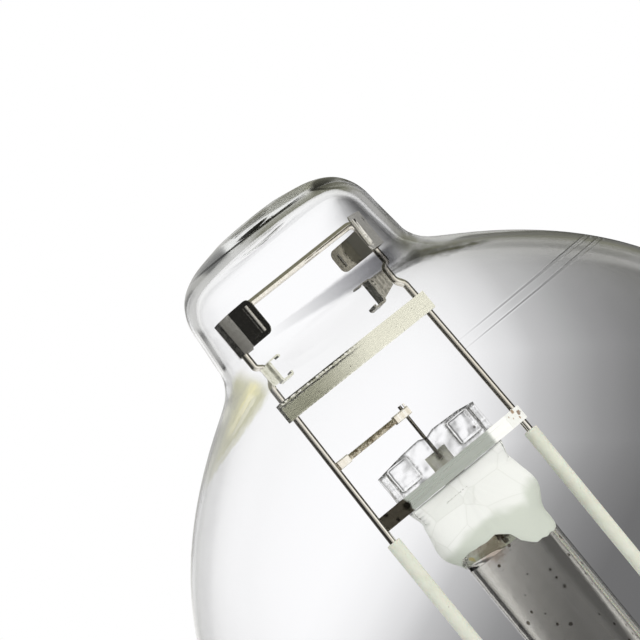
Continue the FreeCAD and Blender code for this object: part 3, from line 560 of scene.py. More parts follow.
@dataclass(frozen=True)
class GlassFinish:
    """Clear glass that lets lamp light through to what is inside it, with painted shade where it is seen edge
    on.

    Args:
        name: the finish's name.
        index: the glass's index of refraction.
        gloss: the strength of its reflections.
        mirror: how much of its straight-on reflection it keeps.
        tint: its colour in thick places.
        density: how fast that colour builds up.
        rim_shade: the painted shade's colour where its surface turns away from the eye.
        rim_start: how far the surface turns away before that painted shade starts.
        rim_strength: how much of that painted shade there is.
        ripple: the strength of its waviness.
        ripple_scale: the waves in each metre.
    """

    name: str
    index: float = 1.5
    gloss: float = 0.5
    mirror: float = 1.0
    tint: Colour = (0.80, 0.84, 0.76)
    density: float = 6.0
    rim_shade: Colour = (0.10, 0.11, 0.08)
    rim_start: float = 0.6
    rim_strength: float = 0.9
    ripple: float = 0.0
    ripple_scale: float = 60.0

    def normal(self, graph: Graph) -> bpy.types.NodeSocket | None:
        """Return the normal of the glass's ripples, or None where it has none.

        Args:
            graph: the graph of the material's or group's nodes.

        Returns:
            The normal of the glass's ripples, or None where it has none.
        """
        if not self.ripple:
            return None
        height = graph.noise(graph.position(), self.ripple_scale, 1.5)
        return graph.bump(self.ripple, 0.0006, height)

    def rim_shade_mask(self, graph: Graph) -> bpy.types.NodeSocket:
        """Return how much painted edge shade there is at each place."""
        facing = graph.add("LayerWeight", {"Blend": 0.5}).outputs["Facing"]
        return graph.times(graph.remap(facing, self.rim_start, 1.0), self.rim_strength)

    def colour(self, graph: Graph) -> bpy.types.NodeSocket:
        """Return the glass's colour over its surface, with its painted edge shade."""
        return graph.mix(self.rim_shade_mask(graph), PURE_WHITE, self.rim_shade)

    def build(self) -> bpy.types.Material:
        """Return the material.

        Returns:
            The material.
        """
        material, graph = Graph.of_material(self.name)
        glass = graph.add("BsdfPrincipled", {
            "Base Color": self.colour(graph), "Roughness": 0.0, "IOR": self.index, "Transmission Weight": 1.0,
            "Specular IOR Level": self.gloss, "Specular Tint": (self.mirror,) * 3,
        })
        normal = self.normal(graph)
        if normal is not None:
            graph.feed(glass.inputs["Normal"], normal)
        path = graph.add("LightPath").outputs
        lit = graph.math("MAXIMUM", path["Is Shadow Ray"], path["Is Diffuse Ray"])
        clear = graph.add("BsdfTransparent", {"Color": (0.985, 0.985, 0.985)})
        mixed = graph.blend(lit, glass, clear)
        absorb = graph.add("VolumeAbsorption", {"Color": self.tint, "Density": self.density})
        graph.surface(mixed.outputs[0], absorb.outputs[0])
        return material


@dataclass(frozen=True)
class PaintedStreak:
    """A streak of painted light on the blown glass, on the side that faces the camera: a painted reflection, a
    painted highlight or painted shade.

    Args:
        start: its first end, as millimetres to the right of the axis and up the lamp.
        end: its other end.
        wide: half its width at the first end, in millimetres.
        narrow: half its width at the other end.
        colour: the painted colour that the glass takes there.
        strength: how far it covers the glass at its first end.
        fading: how much of that is left at its other end.
        ragged: how uneven its edges are, in millimetres.
        soft: how much of its width fades out.
    """

    start: tuple[float, float]
    end: tuple[float, float]
    wide: float
    narrow: float
    colour: Colour
    strength: float = 1.0
    fading: float = 1.0
    ragged: float = 0.6
    soft: float = 0.65


@dataclass(frozen=True)
class BulbGlassFinish(GlassFinish):
    """The blown bulb's glass: painted shade as dark inner lines in the thick crown, a faint mould seam, and
    painted reflections, highlights and shade laid on as bands.

    Args:
        crown_low: the height where the painted edge shade starts to grow, in millimetres.
        crown_high: the height where it is full.
        bulge_strength: how much of it the bulge has.
        seam_height: the mould seam's height in millimetres.
        seam_gap: half the distance between its two lines.
        seam_from: how far right of the axis it starts.
        seam_strength: the strength of its relief.
        painted_streaks: the bands of painted reflection, painted highlight and painted shade.
        middle: the place in metres that its outer face turns away from.
        squash: how the bulb is flattened to find which way is outward.
    """

    crown_low: float = 352.0
    crown_high: float = 366.0
    bulge_strength: float = 0.25
    seam_height: float = 329.4
    seam_gap: float = 1.32
    seam_from: float = 14.0
    seam_strength: float = 0.35
    painted_streaks: tuple[PaintedStreak, ...] = ()
    middle: Point = (0.0, 0.0, 0.35)
    squash: Point = (1.0, 1.0, 0.4)

    def across(self, graph: Graph) -> tuple:
        """Return how far right of the axis a point is, how high it is, and how far behind the axis.

        Args:
            graph: the graph of the material's or group's nodes.

        Returns:
            How far right of the axis a point is, how high it is, and how far behind the axis.
        """
        view, right, _ = Studio().directions()
        place = graph.position()
        aside = graph.dot(place, tuple(right))
        deep = graph.dot(place, (view.x, view.y, 0.0))
        return aside, graph.axis("Z", place), deep

    def outside(self, graph: Graph) -> bpy.types.NodeSocket:
        """Return 1 on the bulb's outer face and 0 on its inner face.

        Args:
            graph: the graph of the material's or group's nodes.

        Returns:
            1 on the bulb's outer face and 0 on its inner face.
        """
        flat = graph.add("NewGeometry").outputs["Normal"]
        flat = graph.vector("MULTIPLY", flat, self.squash).outputs[0]
        middle = graph.vector("SUBTRACT", graph.position(), self.middle).outputs[0]
        outward = graph.vector("MULTIPLY", middle, self.squash).outputs[0]
        same = graph.dot(outward, flat)
        return graph.remap(same, -0.0005, 0.0005)

    def rim_shade_mask(self, graph: Graph) -> bpy.types.NodeSocket:
        """Return the painted edge shade's mask: the crown's inner face carries it, the bulge hardly.

        Args:
            graph: the graph of the material's or group's nodes.

        Returns:
            The painted edge shade's mask: the crown's inner face carries it, the bulge hardly.
        """
        _, up, _ = self.across(graph)
        crown = graph.remap(up, self.crown_low * MM, self.crown_high * MM, self.bulge_strength, 1.0)
        inside = graph.minus(1.0, graph.times(self.outside(graph), 0.8))
        return graph.times(super().rim_shade_mask(graph), graph.times(crown, inside))

    def painted_streak_mask(self, graph: Graph, streak: PaintedStreak) -> bpy.types.NodeSocket:
        """Return where one streak lies.

        Args:
            graph: the graph of the material's or group's nodes.
            streak: the streak.

        Returns:
            Where one streak lies.
        """
        aside, up, deep = self.across(graph)
        long = (streak.end[0] - streak.start[0], streak.end[1] - streak.start[1])
        length = math.hypot(*long)
        way = (long[0] / length, long[1] / length)
        over = graph.minus(aside, streak.start[0] * MM)
        above = graph.minus(up, streak.start[1] * MM)
        run = graph.plus(graph.times(over, way[0]), graph.times(above, way[1]))
        off = graph.minus(graph.times(over, way[1]), graph.times(above, way[0]))
        rough = graph.sway(graph.position(), 420.0, 3.0)
        off = graph.plus(graph.math("ABSOLUTE", off), graph.times(rough, streak.ragged * 4 * MM))
        share = graph.math("DIVIDE", run, length * MM)
        half = graph.remap(share, 0.0, 1.0, streak.wide * MM, streak.narrow * MM)
        mask = graph.remap(graph.math("DIVIDE", off, half), 1.0, 1.0 - streak.soft)
        fading = graph.remap(share, 0.0, 1.0, streak.strength, streak.strength * streak.fading)
        mask = graph.times(mask, graph.remap(share, -0.12, 0.06), graph.remap(share, 1.1, 0.8), fading)
        front = graph.times(graph.remap(deep, 0.0, -0.003), self.outside(graph))
        return graph.times(mask, front)

    def colour(self, graph: Graph) -> bpy.types.NodeSocket:
        """Return the glass's colour with its painted edge shade and its bands of painted reflection, highlight
        and shade.

        Args:
            graph: the graph of the material's or group's nodes.

        Returns:
            The glass's colour with its painted edge shade and its bands of painted reflection, highlight and
            shade.
        """
        colour = super().colour(graph)
        for streak in self.painted_streaks:
            colour = graph.mix(self.painted_streak_mask(graph, streak), colour, streak.colour)
        return colour

    def normal(self, graph: Graph) -> bpy.types.NodeSocket:
        """Return the normal of the waves and of the seam's two lines.

        Args:
            graph: the graph of the material's or group's nodes.

        Returns:
            The normal of the waves and of the seam's two lines.
        """
        waves = super().normal(graph)
        aside, up, deep = self.across(graph)
        away = graph.math("ABSOLUTE", graph.minus(up, self.seam_height * MM))
        line = graph.math("ABSOLUTE", graph.minus(away, self.seam_gap * MM))
        ridge = graph.remap(line, 0.00025, 0.0)
        front = graph.times(graph.remap(aside, self.seam_from * MM, self.seam_from * 3.2 * MM), ridge)
        front = graph.times(graph.remap(deep, 0.0, -0.02), front)
        return graph.bump(self.seam_strength, 0.0001, front, Normal=waves)


@dataclass(frozen=True)
class QuartzFinish(GlassFinish):
    """Fused quartz of the arc tube: a calm body and rippled, pressed ends with a few specks in the body.

    Args:
        light_centre: the height of the tube's middle in millimetres.
        pressed_from: how far from the middle the pressed ends start.
        haze: the body's colour.
        patches: the marks that the load of salts leaves.
    """

    light_centre: float = 241.0
    pressed_from: float = 58.0
    haze: Colour = (0.80, 0.79, 0.76)
    patches: tuple[Patch, ...] = ()

    def ends(self, graph: Graph) -> bpy.types.NodeSocket:
        """Return 1 on the pressed ends and 0 on the body.

        Args:
            graph: the graph of the material's or group's nodes.

        Returns:
            1 on the pressed ends and 0 on the body.
        """
        up = graph.axis("Z", graph.position())
        away = graph.math("ABSOLUTE", graph.minus(up, self.light_centre * MM))
        return graph.remap(away, self.pressed_from * MM, (self.pressed_from + 4.0) * MM)

    def normal(self, graph: Graph) -> bpy.types.NodeSocket:
        """Return the normal of the ripples that the press left, broad ones and fine ones.

        Args:
            graph: the graph of the material's or group's nodes.

        Returns:
            The normal of the ripples that the press left, broad ones and fine ones.
        """
        broad = graph.noise(graph.position(), self.ripple_scale, 1.0)
        level = graph.times(broad, graph.plus(0.04, self.ends(graph)))
        return graph.bump(self.ripple, 0.0010, level)

    def colour(self, graph: Graph) -> bpy.types.NodeSocket:
        """Return the quartz's colour: a grey haze on the body, clear ends with painted shade in broad waves and
        along their corners, specks, and painted edge shade.

        Args:
            graph: the graph of the material's or group's nodes.

        Returns:
            The quartz's colour: a grey haze on the body, clear ends with painted shade in broad waves and along
            their corners, specks, and painted edge shade.
        """
        place = graph.position()
        # Painted shade in broad waves over the pressed ends.
        wave_shade = graph.remap(graph.noise(place, 190.0, 1.0), 0.54, 0.74)
        clear = graph.mix(graph.times(wave_shade, 0.6), PURE_WHITE, (0.30, 0.30, 0.285))
        haze = graph.mix(self.ends(graph), self.haze, clear)
        dots = graph.effect(Mask.SPECKS, position=place, scale=260.0, amount=0.22)
        marked = graph.mix(dots, haze, (0.05, 0.04, 0.03))
        for stain in self.patches:
            marked = graph.mix(stain.mask(graph, place), marked, stain.colour)
        # Painted shade: dark lines along the corners of the pressed ends.
        corners = graph.effect(Mask.WEAR, position=place, radius=0.0012, amount=3.2)
        corners = graph.times(corners, self.ends(graph))
        marked = graph.mix(graph.math("MINIMUM", corners, 1.0), marked, (0.03, 0.03, 0.026))
        return graph.mix(self.rim_shade_mask(graph), marked, self.rim_shade)


@dataclass(frozen=True)
class CeramicFinish:
    """A fired ceramic or a hard moulded insulator, with fine pits and handling marks.

    Args:
        name: the finish's name.
        colour: its colour.
        shade: its colour in the darker clouds.
        roughness: its lowest roughness.
        glow: how much light spreads inside it.
        specks: the amount of specks.
        speck_colour: their colour.
    """

    name: str
    colour: Colour
    shade: Colour
    roughness: float = 0.5
    glow: float = 0.1
    specks: float = 0.06
    speck_colour: Colour = (0.15, 0.14, 0.11)

    def build(self) -> bpy.types.Material:
        """Return the material.

        Returns:
            The material.
        """
        material, graph = Graph.of_material(self.name)
        place = graph.position()
        cloud = graph.remap(graph.noise(place, 260.0, 4.0), 0.3, 0.7)
        colour = graph.mix(cloud, self.shade, self.colour)
        dots = graph.effect(Mask.SPECKS, position=place, scale=700.0, amount=self.specks * 5)
        colour = graph.mix(dots, colour, self.speck_colour)
        fine = graph.noise(place, 5000.0, 3.0)
        relief = graph.bump(0.12, 0.0001, fine)
        rough = graph.plus(self.roughness, graph.times(cloud, 0.12))
        shader = graph.add("BsdfPrincipled", {
            "Base Color": colour, "Roughness": rough, "Normal": relief,
            "Subsurface Weight": self.glow, "Subsurface Scale": 0.002,
        })
        graph.surface(shader.outputs[0])
        return material


class Mesher:
    """Calls that turn plain lists of corners and faces into objects of the lamp."""

    @staticmethod
    def from_faces(
        name: str, corners: Sequence[Point], faces: Sequence[Sequence[int]], smooth: bool = True,
    ) -> bpy.types.Object:
        """Make an object.

        Args:
            name: the piece's name.
            corners: corners in millimetres.
            faces: each face's corner numbers.
            smooth: whether it is shaded smooth.

        Returns:
            The object, linked to the scene.
        """
        mesh = bpy.data.meshes.new(name)
        mesh.from_pydata([tuple(value * MM for value in corner) for corner in corners], [], faces)
        mesh.update()
        for polygon in mesh.polygons:
            polygon.use_smooth = smooth
        piece = bpy.data.objects.new(name, mesh)
        bpy.context.scene.collection.objects.link(piece)
        return piece

    @staticmethod
    def grid_faces(rows: int, columns: int, closed_rows: bool) -> list[tuple[int, ...]]:
        """Return the faces between rows of corners that run round an axis.

        Args:
            rows: how many rows there are.
            columns: how many corners are in each row.
            closed_rows: whether the last row joins the first.

        Returns:
            The faces between rows of corners that run round an axis.
        """
        faces = []
        for row in range(rows if closed_rows else rows - 1):
            above = (row + 1) % rows
            for column in range(columns):
                beside = (column + 1) % columns
                faces.append((
                    row * columns + column, row * columns + beside,
                    above * columns + beside, above * columns + column,
                ))
        return faces

    @staticmethod
    def tube(path: Sequence[Vector], radius: float, sides: int, first: int) -> tuple[list, list]:
        """Return corners and faces of a closed tube along a path.

        Args:
            path: its middle line in millimetres.
            radius: its radius in millimetres.
            sides: corners in each ring.
            first: the number that its first corner gets.

        Returns:
            The corners and the faces.
        """
        corners, faces = [], []
        last = len(path) - 1
        normal = (path[1] - path[0]).orthogonal().normalized()
        for index, point in enumerate(path):
            along = (path[min(index + 1, last)] - path[max(index - 1, 0)]).normalized()
            normal = (normal - along * normal.dot(along)).normalized()
            across = along.cross(normal)
            for side in range(sides):
                angle = math.tau * side / sides
                outward = normal * math.cos(angle) + across * math.sin(angle)
                corners.append(tuple(point + outward * radius))
        for index in range(last):
            for side in range(sides):
                beside = (side + 1) % sides
                here = first + index * sides
                faces.append((here + side, here + beside, here + sides + beside, here + sides + side))
        faces.append(tuple(first + side for side in reversed(range(sides))))
        faces.append(tuple(first + last * sides + side for side in range(sides)))
        return corners, faces


class Bench:
    """Where each piece is dressed, ridden on the lamp's one body and reported."""

    def __init__(self) -> None:
        """Start with no material built."""
        self.materials: dict[str, bpy.types.Material] = {}

    def material(self, finish: object) -> bpy.types.Material:
        """Return a finish's material, building it the first time."""
        if finish.name not in self.materials:
            self.materials[finish.name] = finish.build()
        return self.materials[finish.name]

    def dress(self, finish: object, *nodes: str) -> None:
        """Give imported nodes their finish."""
        for node in nodes:
            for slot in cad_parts[node].material_slots:
                slot.material = self.material(finish)
            LOG.info("dressed %s in %s", node, finish.name)

    def place(self, piece: bpy.types.Object, finish: object, slot: str, *nodes: str) -> None:
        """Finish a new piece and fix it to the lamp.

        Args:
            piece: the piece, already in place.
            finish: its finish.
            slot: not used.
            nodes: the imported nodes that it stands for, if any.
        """
        piece.data.materials.append(self.material(finish))
        if nodes:
            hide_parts(*nodes)
        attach(piece, "root")
        LOG.info("made %s: %d faces in %s", piece.name, len(piece.data.polygons), finish.name)


bench = Bench()


class Curve:
    """Points along the stretches that the glass outlines are made of."""

    @staticmethod
    def bezier(poles: Sequence[FlatPoint], count: int) -> list[FlatPoint]:
        """Return points along a cubic curve, without its last one.

        Args:
            poles: the curve's four poles.
            count: how many points it gives.

        Returns:
            Points along a cubic curve, without its last one.
        """
        points = []
        for index in range(count):
            share = index / count
            weights = (
                (1 - share) ** 3, 3 * share * (1 - share) ** 2, 3 * share ** 2 * (1 - share), share ** 3,
            )
            points.append(tuple(sum(w * pole[axis] for w, pole in zip(weights, poles)) for axis in (0, 1)))
        return points

    @staticmethod
    def spline(
        knots: Sequence[FlatPoint], start: FlatPoint, end: FlatPoint, count: int,
    ) -> list[FlatPoint]:
        """Return points along a smooth curve through knots, with its last one.

        Args:
            knots: the points that it passes through.
            start: its direction at the first knot.
            end: its direction at the last knot.
            count: steps between points.

        Returns:
            The points, evenly spaced along the chords.
        """
        points = np.array(knots)
        steps = np.linalg.norm(np.diff(points, axis=0), axis=1)
        at = np.concatenate(([0.0], np.cumsum(steps)))
        size = len(points)
        matrix = np.zeros((size, size))
        sides = np.zeros((size, 2))
        slopes = np.diff(points, axis=0) / steps[:, None]
        first = np.array(start) / np.linalg.norm(start)
        last = np.array(end) / np.linalg.norm(end)
        matrix[0, :2] = (2 * steps[0], steps[0])
        sides[0] = 6 * (slopes[0] - first)
        for row in range(1, size - 1):
            matrix[row, row - 1:row + 2] = (steps[row - 1], 2 * (steps[row - 1] + steps[row]), steps[row])
            sides[row] = 6 * (slopes[row] - slopes[row - 1])
        matrix[-1, -2:] = (steps[-1], 2 * steps[-1])
        sides[-1] = 6 * (last - slopes[-1])
        bends = np.linalg.solve(matrix, sides)
        result = []
        for value in np.linspace(0.0, at[-1], count + 1):
            span = min(int(np.searchsorted(at, value, side="right")) - 1, size - 2)
            width = steps[span]
            left = at[span + 1] - value
            right = value - at[span]
            here = (bends[span] * left ** 3 + bends[span + 1] * right ** 3) / (6 * width)
            here = here + (points[span] / width - bends[span] * width / 6) * left
            here = here + (points[span + 1] / width - bends[span + 1] * width / 6) * right
            result.append((float(here[0]), float(here[1])))
        return result


@dataclass
class GlassBulb:
    """The blown outer bulb, spun finely from the same outline as its solid."""

    seal_radius: float = 16.6
    seal_low: float = 27.0
    seal_high: float = 47.0
    neck_radius: float = 27.0
    neck_low: float = 76.0
    neck_high: float = 106.0
    bulge_radius: float = 89.0
    bulge_height: float = 272.0
    waist_radius: float = 30.6
    waist_height: float = 363.3
    top: float = 390.0
    dimple: float = 1.4
    seal_wall: float = 1.5
    neck_wall: float = 1.6
    bulge_wall: float = 1.2
    waist_wall: float = 2.1
    crown_wall: float = 2.5
    crown_top_wall: float = 3.2
    waist_lean: float = 0.09
    turns: int = 192
    shoulder: tuple = (
        (0.157, 0.987), (0.307, 0.930), (0.515, 0.779), (0.657, 0.610), (0.771, 0.423),
        (0.858, 0.243), (0.915, 0.106), (0.943, 0.048), (0.972, 0.015),
    )
    crown: tuple = (
        (0.390, 0.967), (0.588, 0.941), (0.685, 0.905), (0.783, 0.845), (0.880, 0.729),
        (0.930, 0.621), (0.978, 0.425), (1.000, 0.240),
    )
    finish: GlassFinish = BulbGlassFinish(
        "bulb_glass_clear", gloss=0.1, mirror=0.0, tint=(0.62, 0.66, 0.55), density=5.0,
        rim_shade=(0.012, 0.014, 0.008), rim_start=0.82, rim_strength=0.97, ripple=0.02, ripple_scale=35.0,
        painted_streaks=(
            # Painted reflection: a warm yellow-green patch at the left waist, with painted highlights in it on
            # the next two lines.
            PaintedStreak((-25.2, 355.6), (-52.8, 343.4), 5.6, 1.4, (0.62, 0.61, 0.43), 1.0, 0.85, 0.35, 0.25),
            PaintedStreak((-24.5, 354.6), (-38.6, 349.3), 1.9, 0.9, (0.93, 0.88, 0.52), 0.9, 1.0, 0.6, 0.5),
            PaintedStreak((-27.0, 352.6), (-38.0, 348.6), 0.7, 0.5, (1.0, 0.98, 0.80), 1.0, 1.0, 0.35, 0.5),
            # Painted reflection: a grey band across the crown above the waist.
            PaintedStreak((24.0, 358.6), (-13.0, 362.6), 3.6, 1.5, (0.20, 0.20, 0.215), 1.0, 0.12, 0.15, 0.5),
            # Painted shade: dark wedges at the right waist, and a grey band down the right edge.
            PaintedStreak((27.6, 354.8), (46.0, 345.6), 2.8, 0.9, (0.03, 0.03, 0.012), 1.0, 1.0, 0.4, 1.0),
            PaintedStreak((28.6, 354.2), (19.0, 355.2), 1.7, 1.0, (0.07, 0.07, 0.07), 1.0, 0.8, 0.3),
            PaintedStreak((30.5, 372.0), (27.6, 356.0), 2.4, 3.4, (0.36, 0.36, 0.30), 0.9, 1.0, 0.4, 1.0),
            # Painted reflection: an olive band across the crown's top.
            PaintedStreak((19.0, 387.4), (-10.5, 389.3), 1.9, 0.4, (0.075, 0.075, 0.045), 0.95, 0.75, 0.0, 0.4),
            PaintedStreak((18.0, 387.3), (26.5, 381.3), 1.7, 0.9, (0.14, 0.14, 0.095), 0.9, 0.6, 0.0, 0.4),
            # Painted shade: thin black lines inside the thick crown.
            PaintedStreak((-19.5, 386.7), (18.6, 385.4), 0.35, 0.50, (0.004, 0.004, 0.003), 1.0, 1.0, 0.0, 0.5),
            PaintedStreak((18.0, 385.5), (25.6, 380.4), 0.50, 0.30, (0.01, 0.01, 0.008), 1.0, 0.7, 0.0, 0.5),
        ),
    )

    def knots(self) -> tuple[list, list, list, list]:
        """Return the shoulder's and the crown's points, each with its walls.

        Returns:
            The shoulder's and the crown's points, each with its walls.
        """
        rise = self.waist_height - self.bulge_height
        reach = self.bulge_radius - self.waist_radius
        shoulder = [(self.bulge_radius, self.bulge_height)]
        shoulder_walls = [self.bulge_wall]
        for up, out in self.shoulder:
            shoulder.append((self.waist_radius + reach * out, self.bulge_height + rise * up))
            shoulder_walls.append(self.bulge_wall + (self.waist_wall - self.bulge_wall) * up ** 3)
        shoulder.append((self.waist_radius, self.waist_height))
        shoulder_walls.append(self.waist_wall)
        crown = [(self.waist_radius, self.waist_height)]
        crown_walls = [self.waist_wall]
        for up, out in self.crown:
            crown.append((self.waist_radius * out, self.waist_height + (self.top - self.waist_height) * up))
            thicker = (self.crown_wall - self.waist_wall) * up
            crown_walls.append(self.waist_wall + thicker + (self.crown_top_wall - self.crown_wall) * up ** 6)
        crown.append((0.0, self.top - self.dimple))
        crown_walls.append(self.crown_top_wall)
        return shoulder, shoulder_walls, crown, crown_walls

    @staticmethod
    def moved_in(points: Sequence, walls: Sequence[float], start: tuple, end: tuple) -> list:
        """Return an outline's points moved in by each one's wall.

        Args:
            points: the outline's points, each as radius and height.
            walls: the wall at each point.
            start: the outline's direction at its first point.
            end: the outline's direction at its last point.

        Returns:
            An outline's points moved in by each one's wall.
        """
        inner = []
        last = len(points) - 1
        for index, (radius, height) in enumerate(points):
            along = (
                points[min(index + 1, last)][0] - points[max(index - 1, 0)][0],
                points[min(index + 1, last)][1] - points[max(index - 1, 0)][1],
            )
            if index == 0:
                along = start
            if index == last:
                along = end
            length = math.hypot(*along)
            inner.append((
                radius - walls[index] * along[1] / length,
                height + walls[index] * along[0] / length,
            ))
        return inner

    def outline(self, shoulder: Sequence, crown: Sequence, seal: float, neck: float, bulge: float) -> list:
        """Return one face of the glass from the seal to the crown's middle.

        Args:
            shoulder: the points that the shoulder passes through.
            crown: the points that the crown passes through.
            seal: its radius at the seal.
            neck: its radius at the neck.
            bulge: its radius at the bulge.

        Returns:
            One face of the glass from the seal to the crown's middle.
        """
        foot = self.neck_low - self.seal_high
        taper = self.bulge_height - self.neck_high
        lean = (-self.waist_lean, 1.0)
        points = [(seal, self.seal_low)]
        points += Curve.bezier((
            (seal, self.seal_high), (seal, self.seal_high + foot * 0.27),
            (neck, self.neck_low - foot * 0.63), (neck, self.neck_low),
        ), 16)
        points += [(neck, self.neck_low), (neck, (self.neck_low + self.neck_high) / 2)]
        points += Curve.bezier((
            (neck, self.neck_high), (neck, self.neck_high + taper * 0.38),
            (bulge, self.bulge_height - taper * 0.46), (bulge, self.bulge_height),
        ), 34)
        points += Curve.spline(shoulder, (0.0, 1.0), lean, 64)[:-1]
        points += Curve.spline(crown, lean, (-1.0, 0.0), 60)
        return points

    def build(self) -> bpy.types.Object:
        """Return the bulb.

        Returns:
            The bulb.
        """
        shoulder, shoulder_walls, crown, crown_walls = self.knots()
        lean = (-self.waist_lean, 1.0)
        outside = self.outline(shoulder, crown, self.seal_radius, self.neck_radius, self.bulge_radius)
        inner_shoulder = self.moved_in(shoulder, shoulder_walls, (0.0, 1.0), lean)
        inner_crown = self.moved_in(crown, crown_walls, lean, (-1.0, 0.0))
        inside = self.outline(
            inner_shoulder, inner_crown, self.seal_radius - self.seal_wall,
            self.neck_radius - self.neck_wall, self.bulge_radius - self.bulge_wall,
        )
        outside_rings = outside[:-1]
        inside_rings = inside[:-1]
        rings = outside_rings[::-1] + inside_rings
        corners = []
        for radius, height in rings:
            for turn in range(self.turns):
                angle = math.tau * turn / self.turns
                corners.append((radius * math.cos(angle), radius * math.sin(angle), height))
        faces = [face[::-1] for face in Mesher.grid_faces(len(rings), self.turns, False)]
        outer_pole = len(corners)
        corners += [(0.0, 0.0, outside[-1][1]), (0.0, 0.0, inside[-1][1])]
        low_ring = (len(rings) - 1) * self.turns
        for turn in range(self.turns):
            beside = (turn + 1) % self.turns
            faces.append((outer_pole, turn, beside))
            faces.append((outer_pole + 1, low_ring + beside, low_ring + turn))
        bulb = Mesher.from_faces("outer_bulb_glass", corners, faces)
        bench.place(bulb, self.finish, "bulb_glass", "outer_bulb")
        return bulb


@dataclass(frozen=True)
class CoatFinish:
    """The white heat-keeping coat: milky, and thinner towards its lower edge.

    Args:
        name: the finish's name.
        colour: the coat's colour.
        shade: its colour in the darker cells.
        thin: its colour where it is thin.
        light_centre: the height of the arc tube's middle in millimetres.
        thin_from: how far from the middle it starts to thin.
    """

    name: str
    colour: Colour = (0.955, 0.960, 0.935)
    shade: Colour = (0.900, 0.908, 0.875)
    thin: Colour = (0.72, 0.75, 0.68)
    light_centre: float = 241.0
    thin_from: float = 50.0

    def build(self) -> bpy.types.Material:
        """Return the material.

        Returns:
            The material.
        """
        material, graph = Graph.of_material(self.name)
        place = graph.position()
        pattern = {"Vector": place, "Scale": 105.0, "Randomness": 1.0}
        cells = graph.add("TexVoronoi", pattern)
        facet = graph.add("SeparateColor", {0: cells.outputs["Color"]}).outputs[0]
        colour = graph.mix(facet, self.shade, self.colour)
        seams = graph.add("TexVoronoi", pattern, feature="DISTANCE_TO_EDGE")
        line = graph.times(graph.remap(seams.outputs["Distance"], 0.03, 0.0), 0.16)
        colour = graph.mix(line, colour, (0.55, 0.56, 0.50))
        up = graph.axis("Z", place)
        height = graph.math("ABSOLUTE", graph.minus(up, self.light_centre * MM))
        uneven = graph.times(graph.sway(place, 90.0, 2.0), 0.010)
        low = graph.remap(graph.plus(height, uneven), self.thin_from * MM, (self.thin_from - 3.0) * MM)
        colour = graph.mix(low, colour, self.thin)
        fine = graph.noise(place, 2500.0, 4.0)
        relief = graph.bump(0.2, 0.0001, fine)
        skin = graph.add("BsdfPrincipled", {
            "Base Color": colour, "Roughness": 0.55, "Normal": relief,
        })
        through = graph.add("BsdfTranslucent", {"Color": colour})
        mixed = graph.blend(0.45, skin, through)
        graph.surface(mixed.outputs[0])
        return material


